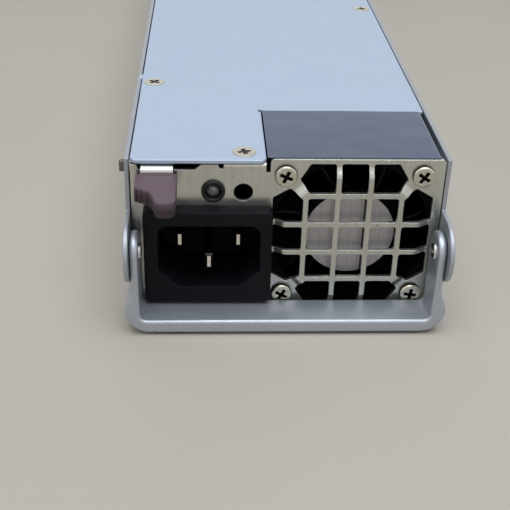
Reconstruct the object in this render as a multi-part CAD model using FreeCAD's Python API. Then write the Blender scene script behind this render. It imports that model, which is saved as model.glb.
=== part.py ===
"""Hot swap server power supply: one STEP file per piece, millimetres.

Origin at the middle of the case's underside on the plane of the front face.
+X to the right seen from the front, +Y into the case, +Z up.
"""
import FreeCAD, Part
import math
import os

V = FreeCAD.Vector
X_AXIS = V(1, 0, 0)
Y_AXIS = V(0, 1, 0)
Z_AXIS = V(0, 0, 1)

# ---- sheet metal case ----
SHEET = 1.0                 # thickness of every case sheet
FAN_SIZE = 40.0             # side of the square fan, which sets the inside height
CASE_WIDTH = 75.4
CASE_LENGTH = 280.0
SEAM = 0.3                  # gap between the side walls and the sheets between them
BEND = 1.2                  # outer radius of the sheet bends
FLANGE = 9.0                # depth of the folded flanges
COVER_OVERHANG = 0.5        # cover edge ahead of the face
COVER_CORNER = 1.8
COVER_HOOK_Y = 53.5         # tongue of the cover in the left wall
COVER_HOOK_LENGTH = 2.6
FACE_SLOT_DROP = 1.7        # slot of the latch below the cover
FACE_TOP_DROP = 0.4         # top edge of the face below the cover
SLOT_SIDE = 2.1             # slot from the face's left edge
SLOT_SLOPE = 0.9
FOLD_FOOT = 0.3             # foot of the fold's gap above the slot
NOTCH_LIP = 0.9
RELIEF_SIDE = 0.6           # cover's side edge left of the fan
RELIEF_DEPTH = 2.4
TOP_STRETCHES = (4.9, 1.5, 4.0, 1.1, 9.8)   # slot, slope, ear, gap and fold from the latch to the fan
CONNECTOR_GAP = 0.3         # round the connector in the rear panel
FILM = 0.2
FILM_DROP = 9.0
FIT = 0.02                  # clearance between pieces fixed together

# ---- fan ----
FAN_DEPTH = 28.0
FAN_SCREW_SHARE = 0.8       # screw pitch as a share of the fan's side
FAN_BORE_SIDE = 1.0         # thinnest frame beside the bore
FAN_FLANGE = 4.0
FAN_WALL = 0.9
FAN_CORNER = 2.5
STRUT_WIDTH = 1.6
MOTOR_R = 11.3              # motor plate carried by the struts
MOTOR_PLATE = 1.8
MOTOR_SET_BACK = 0.8        # motor plate behind the fan's front
LABEL_R = 10.8
LABEL_THICK = 0.15
BLADES = 7
HUB_R = 11.0
HUB_WALL = 1.0
HUB_LENGTH = 18.0
BLADE_LENGTH = 17.0         # along the axis
BLADE_THICK = 0.9
TIP_GAP = 0.5
RUNNING_GAP = 0.5           # between turning and still faces
SHAFT_R = 1.0
SHAFT_FIT = 0.03            # radial clearance of the shaft in its bearings
BEARING_R = 3.0
BEARING_LENGTH = 2.3
TUBE_WALL = 0.6
STATOR_R = 8.2
STATOR_LENGTH = 6.0
STATOR_GAP = 2.0            # stator behind the hub's front
CORE_R = 5.0                # round middle of the stator
SHOE = 1.0                  # thickness of the pole shoes
POLES = 4
POLE_HALF = 1.0
POLE_SLOT_HALF = 0.8
COIL_HALF = 1.9
COIL_END = 0.9              # coil beyond the ends of the stator
MAGNET_THICK = 1.0
MAGNET_LENGTH = 9.6
BLADE_CAMBER = 0.9
ROOT_PITCH = 62.0           # blade angle at the hub
TIP_PITCH = 36.0
FAN_SCREW_R = 1.8
FAN_SCREW_HEAD_R = 2.65
FAN_SCREW_HEAD = 1.3
FAN_SCREW_LENGTH = 9.0
LEAD_R = 0.6
LEADS = 3
LEAD_PITCH = 2.2
LEAD_STRAIGHT = 2.8         # straight run at each end of the leads
LEAD_UP = 5.5               # leads leave the fan above the board
PLUG_X = 2.0
PLUG_BEHIND = 5.0           # plug behind the fan's bay
PLUG_SIZE = (9.0, 7.0, 4.6)

# ---- grille pressed into the face ----
GRILLE_ROWS = 5
GRILLE_BAR = 1.2
GRILLE_MARGIN = 0.1         # outer edge of the windows inside the fan's bore
GRILLE_EDGE = 0.15          # outer rows reach this far beyond the even pitch
EMBOSS_MARGIN = 0.4         # foot of the pressing inside the fan's bore
EMBOSS_SLOPE = 2.3
EMBOSS_HEIGHT = 1.4
EMBOSS_JOIN = 0.5
EMBOSS_SKIN = 0.3           # inside of the cone within its outside
WINDOW_CORNER = 0.5
LAND_TOP = 8.6              # window corners beside a fan screw, from the windows' outer edge
LAND_SIDE = 6.2
LAND_LOW = 8.5
LAND_UNDER = 4.0

# ---- mains inlet ----
INLET_SIDE = 7.6            # recess narrower than the bay beside the fan
INLET_FAN_GAP = 0.15
INLET_FLOOR = 4.9           # flange above the case's underside
INLET_OVER = 24.6           # recess lower than the case
INLET_FLANGE_T = 4.0        # stands this far out of the face
INLET_FLANGE_DROP = 0.4     # flange middle below the recess middle
INLET_FLANGE_SIDE = 1.5     # flange beyond the body
INLET_FLANGE_OVER = 2.45
INLET_FLANGE_SHIFT = 0.25
INLET_FLANGE_EDGE = 0.5
RECESS_DEPTH = 17.0
RECESS_CORNER = 0.6
RECESS_TOP_R = 2.6
RECESS_CHAMFER_W = 5.0
RECESS_CHAMFER_H = 4.5
INLET_WALL = 1.5
INLET_BACK = 2.5
INLET_CORNER = 0.8
INLET_FIT = 0.1
BLADE_SIDE = 5.1            # live blades from the recess sides
BLADE_TIP = 0.6
BLADE_W = 2.0
BLADE_H = 4.0
BLADE_UP = 2.0              # live blades above the recess middle, earth blade below
LIVE_SET_BACK = 4.9         # blade tips behind the flange's front
EARTH_SET_BACK = 1.3
SNAP = 1.2
SNAP_HALF = 3.0
SNAP_SEAT = 0.2             # snap started inside the body
LIVE_LEG = 6.0              # soldered legs behind the inlet
EARTH_LEG = 8.5
LEG_ROOT = 0.5

# ---- lamp in the face ----
LAMP_SIDE = 0.95            # right of the inlet's middle
LAMP_OVER = 1.1             # rim above the inlet's flange
LAMP_HOLE_R = 2.3
LAMP_RIM_R = 2.7
LAMP_RIM = 0.9
LENS_R = 1.5
LENS_OUT = 1.3
LENS_LENGTH = 5.0
LENS_RIM = 0.4
SLEEVE = 3.0                # bezel behind the face
LAMP_LEAD_R = 0.45
LAMP_LEAD_OUT = 1.27        # each lead from the lamp's middle
LAMP_LEAD_Y = 31.0
SPARE_HOLE_SIDE = 7.95      # right of the inlet's middle
SPARE_HOLE_DROP = 0.4       # below the lamp
SPARE_HOLE_R = 2.25

# ---- drop handle ----
PIVOT_OUT = 6.3             # handle pivot ahead of the face
PIVOT_UP = 0.1              # pivot above the middle of the case
EAR_R = 7.3
ARM_WIDTH = 9.6
ARM_GAP = 0.25              # between arm and ear
ARM_THICK = 1.85
BAR_THICK = 3.4
BAR_UP = 0.6                # underside of the bar above the case's underside
HANDLE_OUT = 0.4            # lower, thicker part outside the case walls
FLARE_TOP = 8.2             # pivot down to where the arms begin to widen
FLARE_LENGTH = 5.0
FLARE_R = 3.0
BAR_OUTER_R = 5.8
BAR_INNER_R = 1.6
HANDLE_EDGE = 0.7
RIVET_R = 1.25
RIVET_FIT = 0.06            # radial clearance of the rivet in the arm
RIVET_HEAD_R = 2.0
RIVET_HEAD = 0.6

# ---- latch ----
LEVER_THICK = 0.8
LEVER_SIDE = 2.5            # strip from the face's left edge
LEVER_WIDTH = 7.4
LEVER_BEHIND_PIN = 4.0
LEVER_UNDER_COVER = 0.3
LEVER_OUT = 2.1             # front of the strip's turned-down end ahead of the face
LEVER_BEND = 1.3
LATCH_PIN_SIDE = 4.5        # pin inside the line of the board's left edge
LATCH_PIN_Y = 30.0
LATCH_PIN_R = 1.5
LATCH_PIN_FIT = 0.05
TAB_TOP_BELOW = 3.2         # top of the thumb tab below the cover's top
TAB_THICK = 3.9
TAB_SIDE = 1.3              # tab from the face's left edge
TAB_WIDTH = 9.45
TAB_RIBS = 5
TAB_RIB_R = 0.35
TAB_SOCKET = 1.0            # strip's end above the underside of the tab
TAB_BACK = 0.8
TAB_SHOULDER = 7.6          # reach of the tab's left side ahead of the face
TAB_REACH = 15.6
HOOK_OUT = 1.3              # hook beyond the outside of the wall
HOOK_START = 1.5
HOOK_LENGTH = 2.6
HOOK_HEIGHT = 2.6
HOOK_GAP = 0.5
SPRING_WIRE_R = 0.35
SPRING_TURNS = 3
SPRING_ARM = 7.0
BRACKET_GAP = 0.1           # bracket under the strip
BRACKET_LENGTH = 16.0
BRACKET_WEB = 12.0
BRACKET_STOP = 6.0
PIN_FLANGE_R = 2.6
PIN_FLANGE = 0.6
PIN_BELOW = 4.5             # pin below the bracket

# ---- cover screws ----
COVER_SCREW_R = 1.45
COVER_SCREW_HEAD_R = 2.75
COVER_SCREW_LENGTH = 4.5
FRONT_SCREW_SIDE = 5.0      # front screw left of the cover's relief
FRONT_SCREW_Y = 4.2
LUG_SIDE = 3.7              # side screws from the walls
LUG_PLACES = ((-1, 49.2), (1, 120.0), (-1, 190.0))
LAST_LUG = 18.0             # last side screw from the case's rear
LUG_LENGTH = 9.0
LUG_DEPTH = 8.0

# ---- main board ----
BOARD_GAP = 4.0             # board above the floor
BOARD_THICK = 1.6
BOARD_SIDE = 1.2            # board edge to the side wall
BOARD_BEHIND = 1.9          # board edge behind the inlet
BOARD_END_GAP = 12.0        # board edge to the rear panel
STANDOFF_R = 2.6
BOARD_SCREW_R = 1.2
BOARD_SCREW_HEAD_R = 2.3
BOARD_SCREW_HEAD = 1.4
CROSS_ARM = 0.22            # half width of a screw's cross as a share of its reach
STANDOFF_SIDE = 5.5         # board screws from the board's sides
STANDOFF_PLACES = ((-1, 34.0), (1, 60.0), (-1, 132.0), (1, 160.0))
STANDOFF_ENDS = ((-1, 10.0), (1, 22.0))     # the last two, from the board's rear edge
LINER = 0.4                 # insulating sheet on the floor
LEG = 0.8                   # thickness of soldered legs
LEG_BELOW = 1.0             # soldered legs below the board

# ---- fuse, filter and relay, from the board's edges and the fan's bay ----
FUSE_SIDE = 11.5
FUSE_BEHIND = 11.0
FUSE_R = 2.6
FUSE_LENGTH = 20.0
FUSE_LIFT = 2.0
CLIP_INSET = 3.0
CLIP_HALF = 2.0
CLIP_WALL = 0.8
CLIP_OPEN = 1.5
NOISE_CHOKE = {"side": -15.5, "y": 67.0, "inner": 5.5, "outer": 11.0, "height": 11.0}
BOOST_CHOKE = {"side": -16.5, "y": 116.0, "inner": 7.5, "outer": 13.0, "height": 14.0}
OUTPUT_CHOKE = {"side": 18.5, "y": 218.0, "inner": 6.0, "outer": 11.0, "height": 12.0}
CORE_LIFT = 1.8
TURN_THICK = 1.3
TURN_ANGLE = 22.0           # between turns of the split winding
WINDING_GAP = 0.15
FILM_CAP_SIDE = 21.5
FILM_CAP_YS = (52.0, 66.0)
FILM_CAP_SIZE = (26.0, 10.0, 17.0)
FILM_CAP_EDGE = 1.0
DISC_R = 4.5
DISC_THICK = 3.5
DISC_LIFT = 2.0
DISC_LEG_OUT = 2.5
DISC_MIDDLE_X = -9.0
DISC_FRONT_YS = (22.0, 28.0)
DISC_MIDDLE_YS = (38.0, 44.0)
RELAY_SIDE = 13.5
RELAY_Y = 92.0
RELAY_SIZE = (20.0, 12.0, 15.0)
RELAY_EDGE = 0.8

# ---- bulk capacitors, bridge and heat sinks ----
BULK_R = 14.5
BULK_LENGTH = 42.0
BULK_SIDE = 17.5
BULK_YS = (78.0, 124.0)
BULK_GROOVE = (3.0, 4.2, 0.7)
BULK_END = (0.6, 1.5)
BRIDGE_AT = (-14.0, 134.0)
BRIDGE_HALF = 10.0
BRIDGE_HALF_THICK = 2.0
BRIDGE_UP = (3.0, 18.0)
BRIDGE_LEG_PITCH = 5.0
SINK_SIDE = 2.5
SINK_START = 138.0
SINK_LENGTH = 62.0
SINK_GAP = 6.0              # between the two heat sinks
SINK_END_GAP = 15.0         # heat sink from the board's rear edge
SINK_UNDER_COVER = 5.4
SINK_WEB = 3.0
FIN_LENGTH = 7.0
FIN_THICK = 1.4
FINS = 5
PACKAGE_THICK = 4.4
PACKAGE_HALF = 5.0
PACKAGE_UP = (4.0, 14.0)
PACKAGE_TAB = 1.3
PACKAGE_TAB_UP = (13.5, 20.0)
PACKAGE_LEG = (1.8, 2.6)
PACKAGE_LEG_PITCH = 2.5
PACKAGE_HOLE_UP = 17.0
PACKAGE_HOLE_R = 1.6
PACKAGE_START = 8.0         # first package from the heat sink's end
PRIMARY_PACKAGES = 4
PRIMARY_PITCH = 15.0
OUTPUT_PACKAGES = 3
OUTPUT_END = 10.0           # last package from the heat sink's end

# ---- transformer, output capacitors and daughter board ----
TRANSFORMER_AT = (6.0, 188.0)
TRANSFORMER_LIFT = 1.0
CORE_W = 40.0
CORE_L = 14.0
CORE_H = 28.0
CORE_LEG = 7.0
CORE_CENTRE = 12.0
BOBBIN_GAP = 0.1
BOBBIN_WALL = 1.2
BOBBIN_FLANGE = 8.0         # flanges round the centre leg
BOBBIN_FLANGE_THICK = 1.0
BOBBIN_FOOT_OUT = 5.0
BOBBIN_FOOT_HALF = 12.0
BOBBIN_FOOT_THICK = 1.5
BOBBIN_FOOT_WIDTH = 3.0
WINDING_OUT = 7.0
CAN_R = 5.0
CAN_HEIGHT = 22.0
CAN_PITCH = 12.0
CAN_GAP = 1.6               # first can beside the rectifiers
CAN_YS = (238.0, 250.0)
CAN_COLUMNS = 3
CAN_GROOVE = (1.6, 2.4, 0.5)
CONTROL_SIDE = 4.0
CONTROL_Y = 170.0
CONTROL_LENGTH = 62.0
CONTROL_HEIGHT = 27.0
CONTROL_THICK = 1.6
CONTROL_LIFT = 1.0
CHIP_THICK = 1.6
CHIPS = ((12, 14, 5), (30, 12, 7), (48, 16, 4))     # along, up, half size
RAIL_INSET = 4.0
RAIL_HEIGHT = 2.6

# ---- output connector ----
OUT_WIDTH = 46.0
OUT_HEIGHT = 12.0
OUT_LENGTH = 24.0
OUT_PROUD = 6.0
OUT_X = -6.0
POWER_SLOTS = 8
POWER_PITCH = 4.0
SLOT_W = 1.6
SLOT_H = 8.0
CONTACT_THICK = 1.0
SIGNAL_COLUMNS = 4
SIGNAL_ROWS = 3
SIGNAL_PITCH = 2.4
SIGNAL_HOLE = 1.2
PIN_SIZE = 0.8
POWER_EDGE = 3.5            # first slot from the connector's left end
SIGNAL_EDGE = 2.6
MOUTH_START = 4.0           # mouths of the slots behind the block's inner end
MOUTH_EDGE = 0.8
CONTACT_BACK = 2.0          # contacts from both ends of the block
FOOT_BACK = 3.5

# ---- air holes in the rear panel ----
VENT_R = 2.3                # across the corners, half
VENT_PITCH = 5.0
VENT_MARGIN = 4.5

# ---- places that follow from the sizes ----
CASE_HEIGHT = SHEET + FAN_SIZE
WALL_OUT = CASE_WIDTH / 2
WALL_IN = WALL_OUT - SHEET
PANEL_X = WALL_IN - SEAM
COVER_UNDER = CASE_HEIGHT - SHEET
FACE_SLOT_Z = COVER_UNDER - FACE_SLOT_DROP
FACE_LEFT_TOP = COVER_UNDER - FACE_TOP_DROP
FAN_SCREW_PITCH = FAN_SIZE * FAN_SCREW_SHARE
FAN_BORE = FAN_SIZE / 2 - FAN_BORE_SIDE
GRILLE_REACH = FAN_BORE - GRILLE_MARGIN     # outer edge of the windows from the fan's axis
GRILLE_PITCH = 2 * (GRILLE_REACH - GRILLE_EDGE) / GRILLE_ROWS
EMBOSS_FOOT_R = FAN_BORE - EMBOSS_MARGIN
EMBOSS_TOP_R = EMBOSS_FOOT_R - EMBOSS_SLOPE
EMBOSS_RIM_R = EMBOSS_FOOT_R + EMBOSS_JOIN
FAN_X = PANEL_X - SHEET - FAN_SIZE / 2
FAN_Z = SHEET + FAN_SIZE / 2
FAN_LEFT = FAN_X - FAN_SIZE / 2
FAN_TOP = SHEET + FAN_SIZE
FAN_FRONT = SHEET
FAN_REAR = FAN_FRONT + FAN_DEPTH
MOTOR_FRONT = FAN_FRONT + MOTOR_SET_BACK
MOTOR_BACK = MOTOR_FRONT + MOTOR_PLATE
HUB_FRONT = MOTOR_BACK + RUNNING_GAP
HUB_REAR = HUB_FRONT + HUB_LENGTH
TUBE_END = HUB_REAR - 5.0
STATOR_FRONT = HUB_FRONT + STATOR_GAP
STATOR_REAR = STATOR_FRONT + STATOR_LENGTH
RELIEF_X = FAN_LEFT - RELIEF_SIDE
BOARD_UNDER = SHEET + BOARD_GAP
BOARD_TOP = BOARD_UNDER + BOARD_THICK
BOARD_X = WALL_IN - BOARD_SIDE
BOARD_END = CASE_LENGTH - SHEET - BOARD_END_GAP
FAN_BAY_END = FAN_REAR + 3.0
PLUG_START = FAN_BAY_END + PLUG_BEHIND
NOTCH_X = FAN_LEFT - 0.5
NOTCH_END = FAN_REAR + 0.3
PIVOT_Y = -PIVOT_OUT
PIVOT_Z = CASE_HEIGHT / 2 + PIVOT_UP
BAR_DROP = PIVOT_Z - BAR_UP
HANDLE_WIDTH = CASE_WIDTH + 2 * HANDLE_OUT
ARM_OUT = WALL_IN - ARM_GAP
ARM_IN = ARM_OUT - ARM_THICK
LEVER_TOP = COVER_UNDER - LEVER_UNDER_COVER
LEVER_UNDER = LEVER_TOP - LEVER_THICK
LEVER_LEFT = -PANEL_X + LEVER_SIDE
LEVER_RIGHT = LEVER_LEFT + LEVER_WIDTH
LEVER_REAR = LATCH_PIN_Y + LEVER_BEHIND_PIN
LATCH_PIN_X = -BOARD_X + LATCH_PIN_SIDE
BRACKET_TOP = LEVER_UNDER - BRACKET_GAP
HOOK_END = HOOK_START + HOOK_LENGTH
TAB_LEFT = -PANEL_X + TAB_SIDE
TAB_TOP = CASE_HEIGHT - TAB_TOP_BELOW
TAB_UNDER = TAB_TOP - TAB_THICK
RECESS_FRONT = -INLET_FLANGE_T
RECESS_FLOOR = RECESS_FRONT + RECESS_DEPTH
INLET_REAR = RECESS_FLOOR + INLET_BACK
RECESS_W = FAN_LEFT + PANEL_X - INLET_SIDE
RECESS_H = CASE_HEIGHT - INLET_OVER
INLET_BODY_W = RECESS_W + 2 * INLET_WALL
INLET_BODY_H = RECESS_H + 2 * INLET_WALL
INLET_FLANGE_W = INLET_BODY_W + 2 * INLET_FLANGE_SIDE
INLET_FLANGE_H = INLET_BODY_H + 2 * INLET_FLANGE_OVER
INLET_X = FAN_LEFT - INLET_FAN_GAP - INLET_BODY_W / 2
INLET_Z = INLET_FLOOR + INLET_FLANGE_H / 2 + INLET_FLANGE_DROP
BLADE_PITCH = RECESS_W - 2 * BLADE_SIDE
LIVE_LEG_Y = INLET_REAR + LIVE_LEG
EARTH_LEG_Y = INLET_REAR + EARTH_LEG
LAMP_X = INLET_X + LAMP_SIDE
LAMP_Z = INLET_FLOOR + INLET_FLANGE_H + LAMP_OVER + LAMP_RIM_R
SPARE_HOLE_X = INLET_X + SPARE_HOLE_SIDE
SPARE_HOLE_Z = LAMP_Z - SPARE_HOLE_DROP
TOP_SCALE = (RELIEF_X - LEVER_RIGHT) / sum(TOP_STRETCHES)
FRONT_SCREW = (RELIEF_X - FRONT_SCREW_SIDE * TOP_SCALE, FRONT_SCREW_Y)
LUG_X = WALL_IN - LUG_SIDE
LUG_SCREWS = [(side * LUG_X, y) for side, y in LUG_PLACES] + [(LUG_X, CASE_LENGTH - LAST_LUG)]
BOARD_START = INLET_REAR + BOARD_BEHIND
STANDOFF_X = BOARD_X - STANDOFF_SIDE
STANDOFFS = [(side * STANDOFF_X, y) for side, y in STANDOFF_PLACES]
STANDOFFS += [(side * STANDOFF_X, BOARD_END - y) for side, y in STANDOFF_ENDS]
DISC_FRONT_X = -BOARD_X + DISC_R
DISCS = [(DISC_FRONT_X, y) for y in DISC_FRONT_YS] + [(DISC_MIDDLE_X, y) for y in DISC_MIDDLE_YS]
BULK_X = BOARD_X - BULK_SIDE
SINK_X = -BOARD_X + SINK_SIDE
SINK_FACE = SINK_X + FIN_LENGTH + SINK_WEB
SINK_HEIGHT = COVER_UNDER - BOARD_TOP - SINK_UNDER_COVER
OUT_SINK_START = SINK_START + SINK_LENGTH + SINK_GAP
OUT_SINK_LENGTH = BOARD_END - SINK_END_GAP - OUT_SINK_START
OUTPUT_PITCH = (OUT_SINK_LENGTH - PACKAGE_START - OUTPUT_END) / (OUTPUT_PACKAGES - 1)
CAN_X = SINK_FACE + PACKAGE_THICK + CAN_GAP + CAN_R
OUTPUT_CANS = [(CAN_X + k * CAN_PITCH, y) for y in CAN_YS for k in range(CAN_COLUMNS)]
CONTROL_X = BOARD_X - CONTROL_SIDE
OUT_REAR = CASE_LENGTH + OUT_PROUD
OUT_FRONT = OUT_REAR - OUT_LENGTH
OUT_MIDDLE_Z = BOARD_TOP + OUT_HEIGHT / 2


# ---- shapes used by many pieces ----

def box(x0, x1, y0, y1, z0, z1):
    return Part.makeBox(x1 - x0, y1 - y0, z1 - z0, V(x0, y0, z0))


def rod_x(x0, x1, y, z, r):
    return Part.makeCylinder(r, x1 - x0, V(x0, y, z), X_AXIS)


def rod_y(x, z, y0, y1, r):
    return Part.makeCylinder(r, y1 - y0, V(x, y0, z), Y_AXIS)


def rod_z(x, y, z0, z1, r):
    return Part.makeCylinder(r, z1 - z0, V(x, y, z0), Z_AXIS)


def ring_y(x, z, y0, y1, r_in, r_out):
    return rod_y(x, z, y0, y1, r_out).cut(rod_y(x, z, y0 - 1, y1 + 1, r_in))


def ring_z(x, y, z0, z1, r_in, r_out):
    return rod_z(x, y, z0, z1, r_out).cut(rod_z(x, y, z0 - 1, z1 + 1, r_in))


def cone_z(x, y, z0, z1, r0, r1):
    return Part.makeCone(r0, r1, z1 - z0, V(x, y, z0), Z_AXIS)


def fuse(solids):
    first = solids[0]
    if len(solids) > 1:
        first = first.multiFuse(solids[1:])
    return first.removeSplitter()


def rounded_outline(corners):
    """Closed wire through corners given as (point, radius), rounded by arcs."""
    count = len(corners)
    ends = []
    for i, (point, radius) in enumerate(corners):
        before = (corners[i - 1][0] - point).normalize()
        after = (corners[(i + 1) % count][0] - point).normalize()
        if radius == 0:
            ends.append((point, None, point))
            continue
        half = before.getAngle(after) / 2
        middle = (before + after).normalize()
        reach = radius / math.tan(half)
        centre = point + middle * (radius / math.sin(half))
        ends.append((point + before * reach, centre - middle * radius, point + after * reach))
    edges = []
    for i, (start, top, end) in enumerate(ends):
        if top is not None:
            edges.append(Part.Arc(start, top, end).toShape())
        following = ends[(i + 1) % count][0]
        if end.distanceToPoint(following) > 1e-6:
            edges.append(Part.LineSegment(end, following).toShape())
    return Part.Wire(edges)


def plate_y(corners, y0, y1):
    """Outline in X and Z, each corner (x, z, radius), pulled along Y."""
    wire = rounded_outline([(V(x, y0, z), r) for x, z, r in corners])
    return Part.Face(wire).extrude(V(0, y1 - y0, 0))


def plate_z(corners, z0, z1):
    wire = rounded_outline([(V(x, y, z0), r) for x, y, r in corners])
    return Part.Face(wire).extrude(V(0, 0, z1 - z0))


def plate_x(corners, x0, x1):
    wire = rounded_outline([(V(x0, y, z), r) for y, z, r in corners])
    return Part.Face(wire).extrude(V(x1 - x0, 0, 0))


def rectangle(a0, a1, b0, b1, radius):
    return [(a0, b0, radius), (a1, b0, radius), (a1, b1, radius), (a0, b1, radius)]


def tube(points, radius, share=0.45):
    """Wire of straight runs joined by tangent arcs, as large as the runs allow."""
    edges = []
    start = points[0]
    for i in range(1, len(points) - 1):
        before = points[i - 1] - points[i]
        after = points[i + 1] - points[i]
        reach = share * min(before.Length, after.Length)
        half = before.getAngle(after) / 2
        bend = reach * math.tan(half)
        before.normalize()
        after.normalize()
        middle = (before + after).normalize()
        arc_in = points[i] + before * reach
        arc_out = points[i] + after * reach
        top = points[i] + middle * (bend / math.sin(half) - bend)
        edges.append(Part.LineSegment(start, arc_in).toShape())
        edges.append(Part.Arc(arc_in, top, arc_out).toShape())
        start = arc_out
    edges.append(Part.LineSegment(start, points[-1]).toShape())
    path = Part.Wire(edges)
    section = Part.Wire(Part.makeCircle(radius, points[0], points[1] - points[0]))
    return path.makePipeShell([section], True, False)


def cross_recess(x, y, z, reach, depth, normal):
    """Cross-shaped tool for a screw head, sunk against the normal."""
    arm = reach * CROSS_ARM
    along = box(-reach, reach, -arm, arm, -depth, depth)
    across = box(-arm, arm, -reach, reach, -depth, depth)
    tool = fuse([along, across])
    tool.Placement = FreeCAD.Placement(V(x, y, z), FreeCAD.Rotation(Z_AXIS, normal))
    return tool


def centred_box(x, y, half_x, half_y, z0, z1):
    return box(x - half_x, x + half_x, y - half_y, y + half_y, z0, z1)


def box_on_board(x, y, size):
    width, length, height = size
    return centred_box(x, y, width / 2, length / 2, BOARD_TOP, BOARD_TOP + height)


def hexagon(x, y, radius, start):
    """Corners of a hexagon, the first one at the start angle."""
    corners = []
    for k in range(6):
        angle = math.radians(start + 60 * k)
        corners.append((x + radius * math.cos(angle), y + radius * math.sin(angle), 0))
    return corners


def edges_in_front(shape, y):
    return [edge for edge in shape.Edges if edge.BoundBox.YMax < y + 0.01]


def placed_round_fan(shape, angle):
    """Turns a piece made on the fan's axis at the origin and moves it into place."""
    shape.rotate(V(0, 0, 0), Y_AXIS, angle)
    shape.translate(V(FAN_X, 0, FAN_Z))
    return shape


def mirrored_x(shape):
    return shape.mirror(V(0, 0, 0), X_AXIS)


# ---- case ----

def lug_side(x):
    return math.copysign(1, x)


def wall_lug(x, y):
    """Inward tab of a side wall that takes a cover screw."""
    side = lug_side(x)
    inner, outer = sorted((side * (WALL_IN + SHEET / 2), side * (WALL_IN - LUG_DEPTH)))
    lug = box(inner, outer, y - LUG_LENGTH / 2, y + LUG_LENGTH / 2, COVER_UNDER - SHEET, COVER_UNDER)
    return lug.cut(rod_z(x, y, COVER_UNDER - 2 * SHEET, CASE_HEIGHT, COVER_SCREW_R + FIT))


def hook_window():
    """Opening in the left wall for the latch hook."""
    start = HOOK_START - HOOK_GAP
    end = HOOK_START + HOOK_LENGTH + HOOK_GAP
    low = LEVER_TOP - HOOK_HEIGHT - HOOK_GAP
    return box(-WALL_OUT - 1, -WALL_IN + 1, start, end, low, LEVER_TOP + LEVER_UNDER_COVER)


def cover_hook(gap):
    """Tongue of the cover that drops into a notch of the left wall."""
    half = COVER_HOOK_LENGTH / 2 + gap
    return box(-WALL_OUT + 0.2 - gap, -PANEL_X + 0.5, COVER_HOOK_Y - half, COVER_HOOK_Y + half,
               COVER_UNDER - gap, CASE_HEIGHT + gap)


def chassis_tray():
    profile = rectangle(-WALL_OUT, WALL_OUT, 0, CASE_HEIGHT, 0)
    profile = [(x, z, BEND if z == 0 else 0) for x, z, _ in profile]
    outer = plate_y(profile, 0, CASE_LENGTH)
    profile = rectangle(-WALL_IN, WALL_IN, SHEET, CASE_HEIGHT + 1, 0)
    profile = [(x, z, BEND - SHEET if z == SHEET else 0) for x, z, _ in profile]
    tray = outer.cut(plate_y(profile, -1, CASE_LENGTH + 1))
    for inside in (-WALL_OUT, WALL_IN):
        tongue = box(inside, inside + SHEET, PIVOT_Y, 0.5, PIVOT_Z - EAR_R, PIVOT_Z + EAR_R)
        ear = rod_x(inside, inside + SHEET, PIVOT_Y, PIVOT_Z, EAR_R)
        tray = tray.fuse([tongue, ear])
    tray = tray.fuse([wall_lug(x, y) for x, y in LUG_SCREWS]).removeSplitter()
    tray = tray.cut(rod_x(-CASE_WIDTH, CASE_WIDTH, PIVOT_Y, PIVOT_Z, RIVET_R + FIT))
    return tray.cut([hook_window(), cover_hook(SEAM)])


def corners_of(x0, x1, z0, z1):
    return [(x0, z0), (x1, z0), (x1, z1), (x0, z1)]


def cell_outlines():
    """Windows of the grille, centred on the fan: a 5 by 5 grid without its corners."""
    half = (GRILLE_PITCH - GRILLE_BAR) / 2
    near = 2 * GRILLE_PITCH - half
    outlines = []
    for column in (-1, 0, 1):
        for row in (-1, 0, 1):
            x = column * GRILLE_PITCH
            z = row * GRILLE_PITCH
            outlines.append(corners_of(x - half, x + half, z - half, z + half))
    middle = corners_of(-half, half, near, GRILLE_REACH)
    inner = GRILLE_PITCH - half
    beside = [(-inner, near), (-inner, GRILLE_REACH), (-(GRILLE_REACH - LAND_TOP), GRILLE_REACH),
              (-(GRILLE_REACH - LAND_SIDE), GRILLE_REACH - LAND_UNDER), (-(GRILLE_REACH - LAND_LOW), near)]
    for turn in range(4):
        outlines.append([turned(p, turn) for p in middle])
        outlines.append([turned(p, turn) for p in beside])
        outlines.append([turned((-x, z), turn) for x, z in beside])
    return outlines


def turned(point, quarters):
    x, z = point
    for _ in range(quarters):
        x, z = -z, x
    return x, z


def grille_disc():
    """Round pressing: a flat top joined to the face by a cone."""
    profile = [(0, -EMBOSS_HEIGHT), (EMBOSS_TOP_R, -EMBOSS_HEIGHT), (EMBOSS_FOOT_R, 0), (EMBOSS_RIM_R, 0),
               (EMBOSS_RIM_R, SHEET), (EMBOSS_FOOT_R - EMBOSS_SKIN, SHEET),
               (EMBOSS_TOP_R - EMBOSS_SKIN, SHEET - EMBOSS_HEIGHT), (0, SHEET - EMBOSS_HEIGHT)]
    points = [V(FAN_X + r, y, FAN_Z) for r, y in profile]
    face = Part.Face(Part.makePolygon(points + points[:1]))
    return face.revolve(V(FAN_X, 0, FAN_Z), Y_AXIS, 360)


def face_top_places():
    """Ends of the slot, slope, ear and gap above the face, from the latch to the fan."""
    places = []
    x = LEVER_RIGHT
    for stretch in TOP_STRETCHES[:-1]:
        x += stretch * TOP_SCALE
        places.append(x)
    return places


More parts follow.
